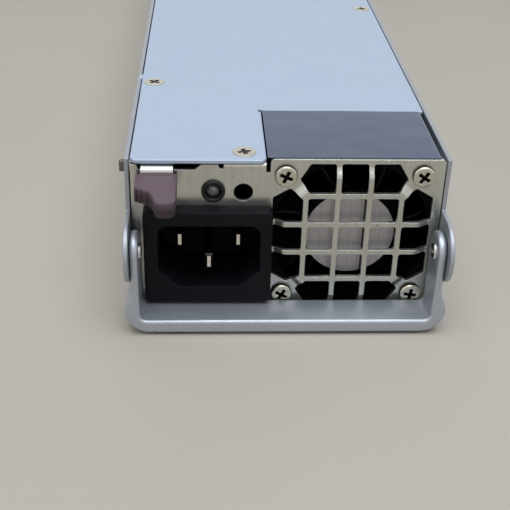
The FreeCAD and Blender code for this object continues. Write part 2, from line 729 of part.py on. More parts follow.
def face_outline():
    left = -PANEL_X
    notch = NOTCH_X + NOTCH_LIP
    relief = COVER_UNDER - RELIEF_DEPTH
    slot_left = left + SLOT_SIDE
    slot_right, ear_left, ear_right, fold_left = face_top_places()
    fold_foot = FACE_SLOT_Z + FOLD_FOOT
    ear_r = 0.6 * TOP_SCALE
    gap_r = 0.5 * TOP_SCALE
    corners = [(left, SHEET, 0), (PANEL_X, SHEET, 0), (PANEL_X, CASE_HEIGHT, 1.0), (notch, CASE_HEIGHT, 1.0)]
    corners += [(notch, relief, 0), (RELIEF_X, relief, 0)]
    corners += [(RELIEF_X, COVER_UNDER, 0), (fold_left, COVER_UNDER, 0), (fold_left, fold_foot, gap_r)]
    corners += [(ear_right, fold_foot, gap_r), (ear_right, FACE_LEFT_TOP, ear_r)]
    corners += [(ear_left, FACE_LEFT_TOP, ear_r), (slot_right, FACE_SLOT_Z, ear_r)]
    corners += [(slot_left, FACE_SLOT_Z, 0.4)]
    return corners + [(slot_left - SLOT_SLOPE, FACE_LEFT_TOP, 0.4), (left, FACE_LEFT_TOP, 0)]


def face_panel():
    plate = plate_y(face_outline(), 0, SHEET)
    plate = plate.cut(rod_y(FAN_X, FAN_Z, -1, SHEET + 1, EMBOSS_RIM_R)).fuse(grille_disc())
    left_flange = box(-PANEL_X, -PANEL_X + SHEET, SHEET / 2, FLANGE, SHEET, FACE_SLOT_Z - 3.0)
    right_flange = box(PANEL_X - SHEET, PANEL_X, SHEET / 2, FLANGE, SHEET, CASE_HEIGHT - 2.0)
    floor_flange = box(-PANEL_X, FAN_LEFT - 1.0, SHEET / 2, FLANGE, SHEET, 2 * SHEET)
    top_flange = box(face_top_places()[-1], RELIEF_X, SHEET / 2, FLANGE, COVER_UNDER - SHEET, COVER_UNDER)
    plate = plate.fuse([left_flange, right_flange, floor_flange, top_flange]).removeSplitter()
    windows = []
    for outline in cell_outlines():
        corners = [(FAN_X + x, FAN_Z + z, WINDOW_CORNER) for x, z in outline]
        windows.append(plate_y(corners, -EMBOSS_HEIGHT - 1, SHEET + 1))
    plate = plate.cut(windows)
    holes = [inlet_cutout(), rod_y(LAMP_X, LAMP_Z, -1, SHEET + 1, LAMP_HOLE_R)]
    holes.append(rod_y(SPARE_HOLE_X, SPARE_HOLE_Z, -1, SHEET + 1, SPARE_HOLE_R))
    holes.append(rod_z(*FRONT_SCREW, COVER_UNDER - 2 * SHEET, CASE_HEIGHT, COVER_SCREW_R + FIT))
    for x, z in fan_screw_places():
        holes.append(rod_y(x, z, -1, SHEET + 1, FAN_SCREW_R + FIT))
    return plate.cut(holes)


def vent_places():
    """Staggered rows that fill the rear panel outside the connector."""
    row_pitch = VENT_PITCH * math.sqrt(3) / 2
    low = 2 * SHEET + VENT_MARGIN
    rows = int((COVER_UNDER - SHEET - VENT_MARGIN - low) / row_pitch) + 1
    columns = int(2 * (PANEL_X - SHEET - VENT_MARGIN) / VENT_PITCH)
    places = []
    for row in range(rows):
        shift = VENT_PITCH / 2 * (row % 2)
        for column in range(columns):
            x = (column - (columns - 1) / 2) * VENT_PITCH + shift - VENT_PITCH / 4
            z = low + row * row_pitch
            beside = abs(x - OUT_X) > OUT_WIDTH / 2 + VENT_MARGIN
            above = z > BOARD_TOP + OUT_HEIGHT + VENT_MARGIN
            if beside or above:
                places.append((x, z))
    return places


def rear_panel():
    back = CASE_LENGTH
    inside = back - SHEET
    plate = box(-PANEL_X, PANEL_X, inside, back, SHEET, COVER_UNDER)
    flanges = [box(-PANEL_X, PANEL_X, back - FLANGE, inside, SHEET, 2 * SHEET),
               box(-PANEL_X, PANEL_X, back - FLANGE, inside, COVER_UNDER - SHEET, COVER_UNDER),
               box(-PANEL_X, -PANEL_X + SHEET, back - FLANGE, inside, SHEET, COVER_UNDER),
               box(PANEL_X - SHEET, PANEL_X, back - FLANGE, inside, SHEET, COVER_UNDER)]
    plate = plate.fuse(flanges).removeSplitter()
    holes = []
    for x, z in vent_places():
        holes.append(plate_y(hexagon(x, z, VENT_R, 30), inside - 1, back + 1))
    half = OUT_WIDTH / 2 + CONNECTOR_GAP
    low = BOARD_TOP - CONNECTOR_GAP
    high = BOARD_TOP + OUT_HEIGHT + CONNECTOR_GAP
    holes.append(box(OUT_X - half, OUT_X + half, inside - 1, back + 1, low, high))
    return plate.cut(holes)


def cover_screw_places():
    return [FRONT_SCREW] + list(LUG_SCREWS)


def screw_cone(x, y, gap):
    """Sunk head of a cover screw, with its clearance in the sheet."""
    sink = COVER_SCREW_HEAD_R - COVER_SCREW_R
    drop = min(sink, SHEET)
    narrow = COVER_SCREW_HEAD_R - drop
    return cone_z(x, y, CASE_HEIGHT - drop, CASE_HEIGHT, narrow + gap, COVER_SCREW_HEAD_R + gap)


def top_cover():
    front = -COVER_OVERHANG
    corners = [(-PANEL_X, front, COVER_CORNER), (RELIEF_X, front, COVER_CORNER), (RELIEF_X, NOTCH_END, 0),
               (PANEL_X, NOTCH_END, 0.4), (PANEL_X, CASE_LENGTH, 0), (-PANEL_X, CASE_LENGTH, 0)]
    cover = plate_z(corners, COVER_UNDER, CASE_HEIGHT)
    cover = cover.fuse(cover_hook(0).cut(box(-WALL_IN, 0, 0, CASE_LENGTH, 0, COVER_UNDER))).removeSplitter()
    tools = [rod_z(RELIEF_X, NOTCH_END, COVER_UNDER - 1, CASE_HEIGHT + 1, 0.8)]
    for x, y in cover_screw_places():
        tools.append(rod_z(x, y, COVER_UNDER - 1, CASE_HEIGHT + 1, COVER_SCREW_R + FIT))
        tools.append(screw_cone(x, y, FIT))
    return cover.cut(tools)


def cover_screw(x, y):
    shank = rod_z(x, y, CASE_HEIGHT - COVER_SCREW_LENGTH, CASE_HEIGHT, COVER_SCREW_R)
    screw = fuse([shank, screw_cone(x, y, 0)])
    return screw.cut(cross_recess(x, y, CASE_HEIGHT, COVER_SCREW_HEAD_R * 0.5, 0.7, Z_AXIS))


def cover_screws():
    return Part.makeCompound([cover_screw(x, y) for x, y in cover_screw_places()])


def fan_shield_film():
    """Thin sheet over the fan that folds down between the fan and the side wall."""
    right = FAN_X + FAN_SIZE / 2 + FILM + 0.1
    top = box(FAN_LEFT, right, FAN_FRONT - 0.3, FAN_REAR, FAN_TOP, FAN_TOP + FILM)
    drop = box(right - FILM, right, FLANGE + 0.4, FAN_REAR, FAN_TOP - FILM_DROP, FAN_TOP + FILM)
    return fuse([top, drop])


# ---- fan ----

def fan_screw_places():
    half = FAN_SCREW_PITCH / 2
    return [(FAN_X + a, FAN_Z + b) for a in (-half, half) for b in (-half, half)]


def fan_frame():
    half = FAN_SIZE / 2
    square = rectangle(FAN_X - half, FAN_X + half, FAN_Z - half, FAN_Z + half, FAN_CORNER)
    parts = [plate_y(square, FAN_FRONT, FAN_FRONT + FAN_FLANGE)]
    parts.append(plate_y(square, FAN_REAR - FAN_FLANGE, FAN_REAR))
    parts.append(rod_y(FAN_X, FAN_Z, FAN_FRONT, FAN_REAR, FAN_BORE + FAN_WALL))
    frame = fuse(parts).cut(rod_y(FAN_X, FAN_Z, 0, FAN_REAR + 1, FAN_BORE))
    plate = rod_y(FAN_X, FAN_Z, MOTOR_FRONT, MOTOR_BACK, MOTOR_R)
    bearing_tube = rod_y(FAN_X, FAN_Z, MOTOR_FRONT, TUBE_END, BEARING_R + TUBE_WALL)
    struts = []
    half = STRUT_WIDTH / 2
    for k in range(4):
        strut = box(MOTOR_R - 1, FAN_BORE + FAN_WALL / 2, MOTOR_FRONT, MOTOR_BACK, -half, half)
        struts.append(placed_round_fan(strut, 45 + 90 * k))
    frame = fuse([frame, plate, bearing_tube] + struts)
    holes = [rod_y(FAN_X, FAN_Z, MOTOR_BACK, TUBE_END + 1, BEARING_R + FIT)]
    holes += [rod_y(x, z, 0, FAN_REAR + 1, FAN_SCREW_R + FIT) for x, z in fan_screw_places()]
    return frame.cut(holes)


def fan_label():
    return rod_y(FAN_X, FAN_Z, MOTOR_FRONT - LABEL_THICK, MOTOR_FRONT, LABEL_R)


def fan_screw(x, z):
    shank = rod_y(x, z, -0.2, FAN_SCREW_LENGTH, FAN_SCREW_R)
    head = rod_y(x, z, -FAN_SCREW_HEAD, 0, FAN_SCREW_HEAD_R)
    head = head.makeFillet(FAN_SCREW_HEAD * 0.6, edges_in_front(head, -FAN_SCREW_HEAD))
    cross = cross_recess(x, -FAN_SCREW_HEAD, z, FAN_SCREW_HEAD_R * 0.55, 0.8, V(0, -1, 0))
    return head.fuse(shank).cut(cross)


def fan_screws():
    return Part.makeCompound([fan_screw(x, z) for x, z in fan_screw_places()])


def fan_stator():
    core = ring_y(FAN_X, FAN_Z, STATOR_FRONT, STATOR_REAR, BEARING_R + TUBE_WALL + FIT, CORE_R)
    shoes = ring_y(FAN_X, FAN_Z, STATOR_FRONT, STATOR_REAR, STATOR_R - SHOE, STATOR_R)
    slots = []
    arms = []
    for k in range(POLES):
        arm = box(CORE_R - 0.4, STATOR_R - SHOE / 2, STATOR_FRONT, STATOR_REAR, -POLE_HALF, POLE_HALF)
        slot = box(0, STATOR_R + 1, STATOR_FRONT - 1, STATOR_REAR + 1, -POLE_SLOT_HALF, POLE_SLOT_HALF)
        arms.append(placed_round_fan(arm, 360 / POLES * k))
        slots.append(placed_round_fan(slot, 360 / POLES * (k + 0.5)))
    return fuse([core, shoes.cut(slots)] + arms)


def fan_coils():
    coils = []
    reach = math.sqrt((STATOR_R - SHOE) ** 2 - COIL_HALF ** 2) - 0.05
    half = POLE_HALF + FIT
    start = STATOR_FRONT - COIL_END
    for k in range(POLES):
        outer = box(CORE_R + 0.1, reach, start, STATOR_REAR + COIL_END, -COIL_HALF, COIL_HALF)
        inner = box(CORE_R, STATOR_R, STATOR_FRONT - FIT, STATOR_REAR + FIT, -half, half)
        coils.append(placed_round_fan(outer.cut(inner), 360 / POLES * k))
    return Part.makeCompound(coils)


def bearing_spans():
    first = MOTOR_BACK + 0.6
    last = TUBE_END - BEARING_LENGTH
    return [(first, first + BEARING_LENGTH), (last, last + BEARING_LENGTH)]


def fan_bearings():
    bore = SHAFT_R + SHAFT_FIT
    return Part.makeCompound([ring_y(FAN_X, FAN_Z, a, b, bore, BEARING_R) for a, b in bearing_spans()])


def fan_shaft():
    return rod_y(FAN_X, FAN_Z, MOTOR_BACK + 0.4, HUB_REAR - 1.0, SHAFT_R)


def blade_section(radius):
    """Cambered section across a blade, steeper towards the hub."""
    share = (radius - HUB_R) / (FAN_BORE - HUB_R)
    pitch = math.radians(ROOT_PITCH - (ROOT_PITCH - TIP_PITCH) * share)
    half = BLADE_LENGTH / 2 / math.sin(pitch)
    middle_y = HUB_REAR - 1.0 - BLADE_LENGTH / 2
    edge = -BLADE_THICK * 0.6
    hollow = BLADE_CAMBER - BLADE_THICK
    points = []
    for along, off in ((-1, 0), (0, BLADE_CAMBER), (1, 0), (1, edge), (0, hollow), (-1, edge)):
        a = along * half
        across = a * math.cos(pitch) - off * math.sin(pitch)
        depth = a * math.sin(pitch) + off * math.cos(pitch)
        points.append(V(across, middle_y + depth, radius))
    return points


def blade():
    wires = []
    for radius in (HUB_R - 0.6, (HUB_R + FAN_BORE) / 2, FAN_BORE + 0.5):
        p = blade_section(radius)
        back = Part.Arc(p[0], p[1], p[2]).toShape()
        tail = Part.LineSegment(p[2], p[3]).toShape()
        front = Part.Arc(p[3], p[4], p[5]).toShape()
        nose = Part.LineSegment(p[5], p[0]).toShape()
        wires.append(Part.Wire([back, tail, front, nose]))
    return Part.makeLoft(wires, True, True)


def impeller():
    hub = rod_y(0, 0, HUB_FRONT, HUB_REAR, HUB_R)
    hub = hub.cut(rod_y(0, 0, HUB_FRONT - 1, HUB_REAR - 2 * HUB_WALL, HUB_R - HUB_WALL))
    hub = hub.fuse(rod_y(0, 0, HUB_REAR - 3.6, HUB_REAR - HUB_WALL, 2.4))
    tip = ring_y(0, 0, HUB_FRONT + 0.5, HUB_REAR, HUB_R - HUB_WALL / 2, FAN_BORE - TIP_GAP)
    blades = []
    for k in range(BLADES):
        one = blade()
        one.rotate(V(0, 0, 0), Y_AXIS, 360 * k / BLADES)
        blades.append(one.common(tip))
    wheel = hub.fuse(blades).removeSplitter()
    wheel = wheel.cut(rod_y(0, 0, HUB_FRONT, HUB_REAR - 1.0, SHAFT_R))
    wheel.translate(V(FAN_X, 0, FAN_Z))
    return wheel


def magnet_ring():
    outer = HUB_R - HUB_WALL
    start = HUB_FRONT + 0.4
    return ring_y(FAN_X, FAN_Z, start, start + MAGNET_LENGTH, outer - MAGNET_THICK, outer)


def lead_x(k):
    return PLUG_X + (k - (LEADS - 1) / 2) * LEAD_PITCH


def fan_leads():
    """Insulated leads from the fan's rear flange to its plug on the board."""
    out_z = BOARD_TOP + LEAD_UP
    in_z = BOARD_TOP + PLUG_SIZE[2] / 2 + 1.0
    leads = []
    for k in range(LEADS):
        x = lead_x(k)
        route = [V(x, FAN_REAR, out_z), V(x, FAN_REAR + LEAD_STRAIGHT, out_z),
                 V(x, PLUG_START - LEAD_STRAIGHT, in_z), V(x, PLUG_START, in_z)]
        leads.append(tube(route, LEAD_R))
    return Part.makeCompound(leads)


def fan_plug():
    width, length, height = PLUG_SIZE
    end = PLUG_START + length
    top = BOARD_TOP + height + 1
    shell = box(PLUG_X - width / 2, PLUG_X + width / 2, PLUG_START, end, BOARD_TOP, top)
    ridge = box(PLUG_X - 1.5, PLUG_X + 1.5, PLUG_START, PLUG_START + 4, top - 0.5, top + 0.8)
    return fuse([shell, ridge])


# ---- mains inlet ----

def recess_outline():
    half_w = RECESS_W / 2
    half_h = RECESS_H / 2
    low = INLET_Z - half_h
    high = INLET_Z + half_h
    cut_z = low + RECESS_CHAMFER_H
    cut_x = half_w - RECESS_CHAMFER_W
    return [(INLET_X - half_w, cut_z, RECESS_CORNER), (INLET_X - cut_x, low, RECESS_CORNER),
            (INLET_X + cut_x, low, RECESS_CORNER), (INLET_X + half_w, cut_z, RECESS_CORNER),
            (INLET_X + half_w, high, RECESS_TOP_R), (INLET_X - half_w, high, RECESS_TOP_R)]


def inlet_body_outline(gap):
    half_w = INLET_BODY_W / 2 + gap
    half_h = INLET_BODY_H / 2 + gap
    return rectangle(INLET_X - half_w, INLET_X + half_w, INLET_Z - half_h, INLET_Z + half_h, INLET_CORNER)


def inlet_cutout():
    return plate_y(inlet_body_outline(INLET_FIT), -1, SHEET + 1)


def inlet_flange():
    half_w = INLET_FLANGE_W / 2
    half_h = INLET_FLANGE_H / 2
    x = INLET_X - INLET_FLANGE_SHIFT
    z = INLET_Z - INLET_FLANGE_DROP
    flange = plate_y(rectangle(x - half_w, x + half_w, z - half_h, z + half_h, INLET_CORNER), RECESS_FRONT, 0)
    return flange.makeFillet(INLET_FLANGE_EDGE, edges_in_front(flange, RECESS_FRONT))


def inlet_snaps():
    """Sloped catches above and below the body, behind the face."""
    snaps = []
    slope_end = SHEET + 4 * SNAP
    for side in (-1, 1):
        middle = INLET_X + side * RECESS_W / 4
        for up in (1, -1):
            surface = INLET_Z + up * INLET_BODY_H / 2
            seat = surface - up * SNAP_SEAT
            outline = [(SHEET, seat, 0), (SHEET, surface + up * SNAP, 0), (slope_end, seat, 0)]
            snaps.append(plate_x(outline, middle - SNAP_HALF, middle + SNAP_HALF))
    return snaps


def inlet_housing():
    body = plate_y(inlet_body_outline(0), -0.5, INLET_REAR)
    low = INLET_Z - INLET_BODY_H / 2
    foot_half = RECESS_W / 3
    foot = box(INLET_X - foot_half, INLET_X + foot_half, INLET_REAR - 1, INLET_REAR + 4, BOARD_TOP, low + 3)
    housing = fuse([inlet_flange(), body, foot] + inlet_snaps())
    tools = [plate_y(recess_outline(), RECESS_FRONT - 1, RECESS_FLOOR)]
    half_w = BLADE_W / 2
    half_h = BLADE_H / 2
    for x, z in blade_places():
        tools.append(box(x - half_w, x + half_w, RECESS_FLOOR - 1, INLET_REAR + 6, z - half_h, z + half_h))
    return housing.cut(tools)


def blade_places():
    half = BLADE_PITCH / 2
    high = INLET_Z + BLADE_UP
    return [(INLET_X - half, high), (INLET_X + half, high), (INLET_X, INLET_Z - BLADE_UP)]


def inlet_blade(x, z, set_back, leg_y):
    """Bevelled contact blade whose leg turns down into the board."""
    half_w = BLADE_W / 2
    half_h = BLADE_H / 2
    tip = RECESS_FRONT + set_back
    stem = box(x - half_w, x + half_w, tip, INLET_REAR, z - half_h, z + half_h)
    stem = stem.makeChamfer(BLADE_TIP, edges_in_front(stem, tip))
    tail = box(x - LEG / 2, x + LEG / 2, INLET_REAR - LEG_ROOT, leg_y + LEG, z - half_h, z + half_h)
    leg = box(x - LEG / 2, x + LEG / 2, leg_y - LEG, leg_y + LEG, BOARD_UNDER - LEG_BELOW, z)
    return fuse([stem, tail, leg])


def live_blades():
    return Part.makeCompound([inlet_blade(x, z, LIVE_SET_BACK, LIVE_LEG_Y) for x, z in blade_places()[:2]])


def earth_blade():
    x, z = blade_places()[2]
    return inlet_blade(x, z, EARTH_SET_BACK, EARTH_LEG_Y)


def inlet_leg_places():
    places = [(x, LIVE_LEG_Y) for x, _ in blade_places()[:2]]
    return places + [(blade_places()[2][0], EARTH_LEG_Y)]


# ---- lamp ----

def lamp_bezel():
    rim = rod_y(LAMP_X, LAMP_Z, -LAMP_RIM, 0, LAMP_RIM_R)
    rim = rim.makeFillet(0.4, edges_in_front(rim, -LAMP_RIM))
    sleeve = rod_y(LAMP_X, LAMP_Z, -0.5, SHEET + SLEEVE, LAMP_HOLE_R - FIT)
    lip = Part.makeCone(LAMP_HOLE_R + 0.5, LAMP_HOLE_R - 0.3, 1.2, V(LAMP_X, SHEET, LAMP_Z), Y_AXIS)
    return fuse([rim, sleeve, lip]).cut(rod_y(LAMP_X, LAMP_Z, -5, SHEET + 5, LENS_R + FIT))


def lamp_lens():
    body = rod_y(LAMP_X, LAMP_Z, LENS_R - LENS_OUT, LENS_LENGTH, LENS_R)
    dome = Part.makeSphere(LENS_R, V(LAMP_X, LENS_R - LENS_OUT, LAMP_Z))
    rim = rod_y(LAMP_X, LAMP_Z, SHEET + SLEEVE, LENS_LENGTH + LENS_RIM, LENS_R + LENS_RIM)
    return fuse([body, dome, rim])


def lamp_leads():
    """Pair of leads from the lamp over the inlet and down to the board."""
    leads = []
    for side in (-1, 1):
        x = LAMP_X + side * LAMP_LEAD_OUT
        start = LENS_LENGTH + LENS_RIM
        route = [V(x, start, LAMP_Z), V(x, start + 6, LAMP_Z), V(x, start + 14, LAMP_Z - 2.5),
                 V(x, LAMP_LEAD_Y - 2, LAMP_Z - 11), V(x, LAMP_LEAD_Y, BOARD_TOP + 7),
                 V(x, LAMP_LEAD_Y, BOARD_TOP)]
        leads.append(tube(route, LAMP_LEAD_R))
    return Part.makeCompound(leads)


# ---- handle ----

def bail_handle():
    half = HANDLE_WIDTH / 2
    under = PIVOT_Z - BAR_DROP
    top = PIVOT_Z + ARM_WIDTH / 2
    flare = PIVOT_Z - FLARE_TOP
    inner = under + BAR_THICK
    right = [(half, under, BAR_OUTER_R), (half, flare - FLARE_LENGTH, FLARE_R), (ARM_OUT, flare, FLARE_R),
             (ARM_OUT, top, 0), (ARM_IN, top, 0), (ARM_IN, inner, BAR_INNER_R)]
    left = [(-x, z, r) for x, z, r in reversed(right)]
    hoop = plate_y(right + left, PIVOT_Y - ARM_WIDTH / 2, PIVOT_Y + ARM_WIDTH / 2)
    r = ARM_WIDTH / 2
    side = [(PIVOT_Y - r, under, HANDLE_EDGE), (PIVOT_Y + r, under, HANDLE_EDGE), (PIVOT_Y + r, PIVOT_Z, 0),
            (PIVOT_Y - r, PIVOT_Z, 0)]
    round_end = rod_x(-CASE_WIDTH, CASE_WIDTH, PIVOT_Y, PIVOT_Z, r)
    hoop = hoop.common(fuse([plate_x(side, -CASE_WIDTH, CASE_WIDTH), round_end]))
    return hoop.cut(rod_x(-CASE_WIDTH, CASE_WIDTH, PIVOT_Y, PIVOT_Z, RIVET_R + RIVET_FIT))


def handle_rivet():
    shank = rod_x(ARM_IN - RIVET_FIT - 0.1, WALL_OUT + 0.1, PIVOT_Y, PIVOT_Z, RIVET_R)
    inner = rod_x(ARM_IN - RIVET_FIT - RIVET_HEAD, ARM_IN - RIVET_FIT, PIVOT_Y, PIVOT_Z, RIVET_HEAD_R)
    outer = rod_x(WALL_OUT, WALL_OUT + RIVET_HEAD, PIVOT_Y, PIVOT_Z, RIVET_HEAD_R)
    edge = RIVET_HEAD * 0.6
    inner = inner.makeFillet(edge, [e for e in inner.Edges if e.BoundBox.XMax < ARM_IN - RIVET_FIT - 0.1])
    outer = outer.makeFillet(edge, [e for e in outer.Edges if e.BoundBox.XMin > WALL_OUT + 0.1])
    return fuse([shank, inner, outer])


def handle_rivets():
    right = handle_rivet()
    return Part.makeCompound([right, mirrored_x(right)])


# ---- latch ----

def latch_lever():
    """Strip from the pin to the thumb tab, with the hook on its left edge."""
    front = -LEVER_OUT
    foot = TAB_UNDER + TAB_SOCKET
    bend_end = front + LEVER_BEND
    overlap = bend_end + 0.1
    behind = front + LEVER_THICK
    strip = plate_z([(LEVER_LEFT, bend_end, 0), (LEVER_RIGHT, bend_end, 0),
                     (LEVER_RIGHT, LEVER_REAR, 3.0), (LEVER_LEFT, LEVER_REAR, 3.0)], LEVER_UNDER, LEVER_TOP)
    down = [(front, foot, 0), (front, LEVER_TOP, LEVER_BEND), (overlap, LEVER_TOP, 0),
            (overlap, LEVER_UNDER, 0), (behind, LEVER_UNDER, LEVER_BEND - LEVER_THICK), (behind, foot, 0)]
    turned_end = plate_x(down, LEVER_LEFT, LEVER_RIGHT)
    neck = box(-WALL_IN + HOOK_GAP, LEVER_LEFT + 1, HOOK_START, HOOK_END + 6, LEVER_UNDER, LEVER_TOP)
    hook = [(-WALL_IN + 2.0, HOOK_START, 0), (-WALL_OUT - HOOK_OUT, HOOK_START, 0.3),
            (-WALL_OUT - HOOK_OUT, HOOK_START + 0.9, 0.3), (-WALL_IN, HOOK_END, 0),
            (-WALL_IN + 2.0, HOOK_END, 0)]
    tooth = plate_z(hook, LEVER_TOP - HOOK_HEIGHT, LEVER_TOP)
    lever = fuse([strip, turned_end, neck, tooth])
    peg_hole = rod_z(LATCH_PIN_X, LATCH_PIN_Y, LEVER_UNDER - 1, LEVER_TOP + 1, LATCH_PIN_R)
    return lever.cut(peg_hole)


def thumb_tab():
    """Moulded grip: a shoulder on the left, a ribbed hollow and a rounded nose."""
    left = TAB_LEFT
    right = TAB_LEFT + TAB_WIDTH
    nose_left = left + TAB_WIDTH * 0.56
    corners = [(right, -TAB_BACK, 0.4), (right, -TAB_REACH, 2.0), (nose_left, -TAB_REACH, 1.2),
               (left + TAB_WIDTH * 0.4, -TAB_SHOULDER - 2.6, 2.6), (left, -TAB_SHOULDER, 0.6),
               (left, -TAB_BACK, 0.4)]
    tab = plate_z(corners, TAB_UNDER, TAB_TOP)
    tab = tab.makeFillet(0.35, [e for e in tab.Edges if e.BoundBox.ZMin > TAB_TOP - 0.01])
    ribs = []
    start = V(left + TAB_WIDTH * 0.12, -TAB_SHOULDER - 0.9, 0)
    end = V(nose_left - 0.3, -TAB_REACH + 1.6, 0)
    for k in range(TAB_RIBS):
        spot = start + (end - start) * (k / (TAB_RIBS - 1))
        ribs.append(rod_z(spot.x - TAB_RIB_R, spot.y - 0.1, TAB_UNDER - 1, TAB_TOP - 0.5, TAB_RIB_R))
    behind = -LEVER_OUT + LEVER_THICK
    pocket = box(LEVER_LEFT, LEVER_RIGHT, -LEVER_OUT, behind, TAB_UNDER + TAB_SOCKET, TAB_TOP + 1)
    return tab.cut(ribs + [pocket])


def latch_bracket():
    """Angle fixed inside the left wall that carries the latch pin."""
    front = LATCH_PIN_Y - BRACKET_LENGTH / 2
    rear = LATCH_PIN_Y + BRACKET_LENGTH / 2
    right = LATCH_PIN_X + 4.0
    shelf = box(-WALL_IN, right, front, rear, BRACKET_TOP - SHEET, BRACKET_TOP)
    web = box(-WALL_IN, -WALL_IN + SHEET, front, rear, BRACKET_TOP - BRACKET_WEB, BRACKET_TOP)
    stop = box(right - SHEET, right, rear - 5.0, rear, BRACKET_TOP - BRACKET_STOP, BRACKET_TOP)
    bore = LATCH_PIN_R + LATCH_PIN_FIT
    hole = rod_z(LATCH_PIN_X, LATCH_PIN_Y, BRACKET_TOP - 2 * SHEET, BRACKET_TOP + 1, bore)
    return fuse([shelf, web, stop]).cut(hole)


def latch_pin():
    foot = BRACKET_TOP - SHEET - PIN_BELOW
    pin = rod_z(LATCH_PIN_X, LATCH_PIN_Y, foot, LEVER_TOP, LATCH_PIN_R)
    return pin.fuse(rod_z(LATCH_PIN_X, LATCH_PIN_Y, foot - PIN_FLANGE, foot, PIN_FLANGE_R))


def latch_spring():
    """Torsion spring round the pin under the bracket."""
    radius = LATCH_PIN_R + SPRING_WIRE_R + 0.05
    pitch = 2 * SPRING_WIRE_R + 0.15
    low = BRACKET_TOP - SHEET - SPRING_TURNS * pitch - SPRING_WIRE_R - 0.6
    coil = Part.makeHelix(pitch, pitch * SPRING_TURNS, radius)
    section = Part.Wire(Part.makeCircle(SPRING_WIRE_R, V(radius, 0, 0), Y_AXIS))
    spring = Part.Wire(coil.Edges).makePipeShell([section], True, True)
    spring.translate(V(LATCH_PIN_X, LATCH_PIN_Y, low))
    x = LATCH_PIN_X + radius
    high = low + pitch * SPRING_TURNS
    leg = rod_y(x, high, LATCH_PIN_Y - 0.2, LATCH_PIN_Y + SPRING_ARM, SPRING_WIRE_R)
    arm = rod_y(x, low, LATCH_PIN_Y - SPRING_ARM, LATCH_PIN_Y + 0.2, SPRING_WIRE_R)
    return fuse([spring, leg, arm])


# ---- board and its fixings ----

def board_outline():
    step = FAN_LEFT - 1.0
    front = [(-BOARD_X, BOARD_START, 0), (step, BOARD_START, 0), (step, FAN_BAY_END, 0)]
    return front + [(BOARD_X, FAN_BAY_END, 0), (BOARD_X, BOARD_END, 0), (-BOARD_X, BOARD_END, 0)]


def main_board():
    board = plate_z(board_outline(), BOARD_UNDER, BOARD_TOP)
    holes = [rod_z(x, y, BOARD_UNDER - 1, BOARD_TOP + 1, BOARD_SCREW_R + FIT) for x, y in STANDOFFS]
    gap = 0.05
    for x, y in inlet_leg_places():
        holes.append(centred_box(x, y, LEG / 2 + gap, LEG + gap, BOARD_UNDER - 1, BOARD_TOP + 1))
    return board.cut(holes)


def insulating_sheet():
    sheet = plate_z(board_outline(), SHEET, SHEET + LINER)
    return sheet.cut([rod_z(x, y, 0, BOARD_TOP, STANDOFF_R + 0.2) for x, y in STANDOFFS])


def standoffs():
    posts = []
    for x, y in STANDOFFS:
        post = plate_z(hexagon(x, y, STANDOFF_R, 0), SHEET, BOARD_UNDER)
        posts.append(post.cut(rod_z(x, y, SHEET + 0.5, BOARD_TOP, BOARD_SCREW_R + FIT)))
    return Part.makeCompound(posts)


def board_screws():
    screws = []
    top = BOARD_TOP + BOARD_SCREW_HEAD
    for x, y in STANDOFFS:
        shank = rod_z(x, y, SHEET + 1.0, BOARD_TOP + 0.2, BOARD_SCREW_R)
        screw = fuse([shank, rod_z(x, y, BOARD_TOP, top, BOARD_SCREW_HEAD_R)])
        screws.append(screw.cut(cross_recess(x, y, top, BOARD_SCREW_HEAD_R * 0.6, 0.8, Z_AXIS)))
    return Part.makeCompound(screws)


# ---- power electronics ----

def fuse_holder():
    x = -BOARD_X + FUSE_SIDE
    y = FAN_BAY_END + FUSE_BEHIND
    z = BOARD_TOP + FUSE_R + FUSE_LIFT
    body = rod_y(x, z, y - FUSE_LENGTH / 2, y + FUSE_LENGTH / 2, FUSE_R)
    clips = []
    for end in (-1, 1):
        middle = y + end * (FUSE_LENGTH / 2 - CLIP_INSET)
        clip = centred_box(x, middle, FUSE_R + CLIP_WALL, CLIP_HALF, BOARD_TOP, z)
        mouth = centred_box(x, middle, CLIP_OPEN, CLIP_HALF + 1, BOARD_TOP + CLIP_WALL, z + 1)
        clips.append(clip.cut(mouth))
    return fuse([body] + clips)


def choke_place(choke):
    """Middle of a choke, measured from the board's left or right edge."""
    side = choke["side"]
    return math.copysign(BOARD_X, side) - side, choke["y"]


def ring_core(choke):
    x, y = choke_place(choke)
    low = BOARD_TOP + CORE_LIFT
    return ring_z(x, y, low, low + choke["height"], choke["inner"], choke["outer"])


def noise_choke_core():
    return ring_core(NOISE_CHOKE)


def boost_choke_core():
    return ring_core(BOOST_CHOKE)


def output_choke_core():
    return ring_core(OUTPUT_CHOKE)


def ring_turns(choke, angles):
    """Wire turns round a ring core, one closed loop for each angle."""
    x, y = choke_place(choke)
    low = BOARD_TOP + CORE_LIFT - WINDING_GAP
    high = BOARD_TOP + CORE_LIFT + choke["height"] + WINDING_GAP
    r0 = choke["inner"] - WINDING_GAP - 0.1
    r1 = choke["outer"] + WINDING_GAP
    half = TURN_THICK / 2
    turns = []
    for angle in angles:
        outer = box(r0 - TURN_THICK, r1 + TURN_THICK, -half, half, low - TURN_THICK, high + TURN_THICK)
        turn = outer.cut(box(r0, r1, -1, 1, low, high))
        turn.rotate(V(0, 0, 0), Z_AXIS, angle)
        turn.translate(V(x, y, 0))
        turns.append(turn)
    return turns


def split_angles(count):
    """Two groups of turns with a bare gap between them."""
    return [side + (k - (count - 1) / 2) * TURN_ANGLE for side in (90, 270) for k in range(count)]


def even_angles(count):
    return [360 * k / count for k in range(count)]


def choke_base(choke):
    x, y = choke_place(choke)
    low = BOARD_TOP + CORE_LIFT - WINDING_GAP - TURN_THICK
    return rod_z(x, y, BOARD_TOP, low, choke["outer"])


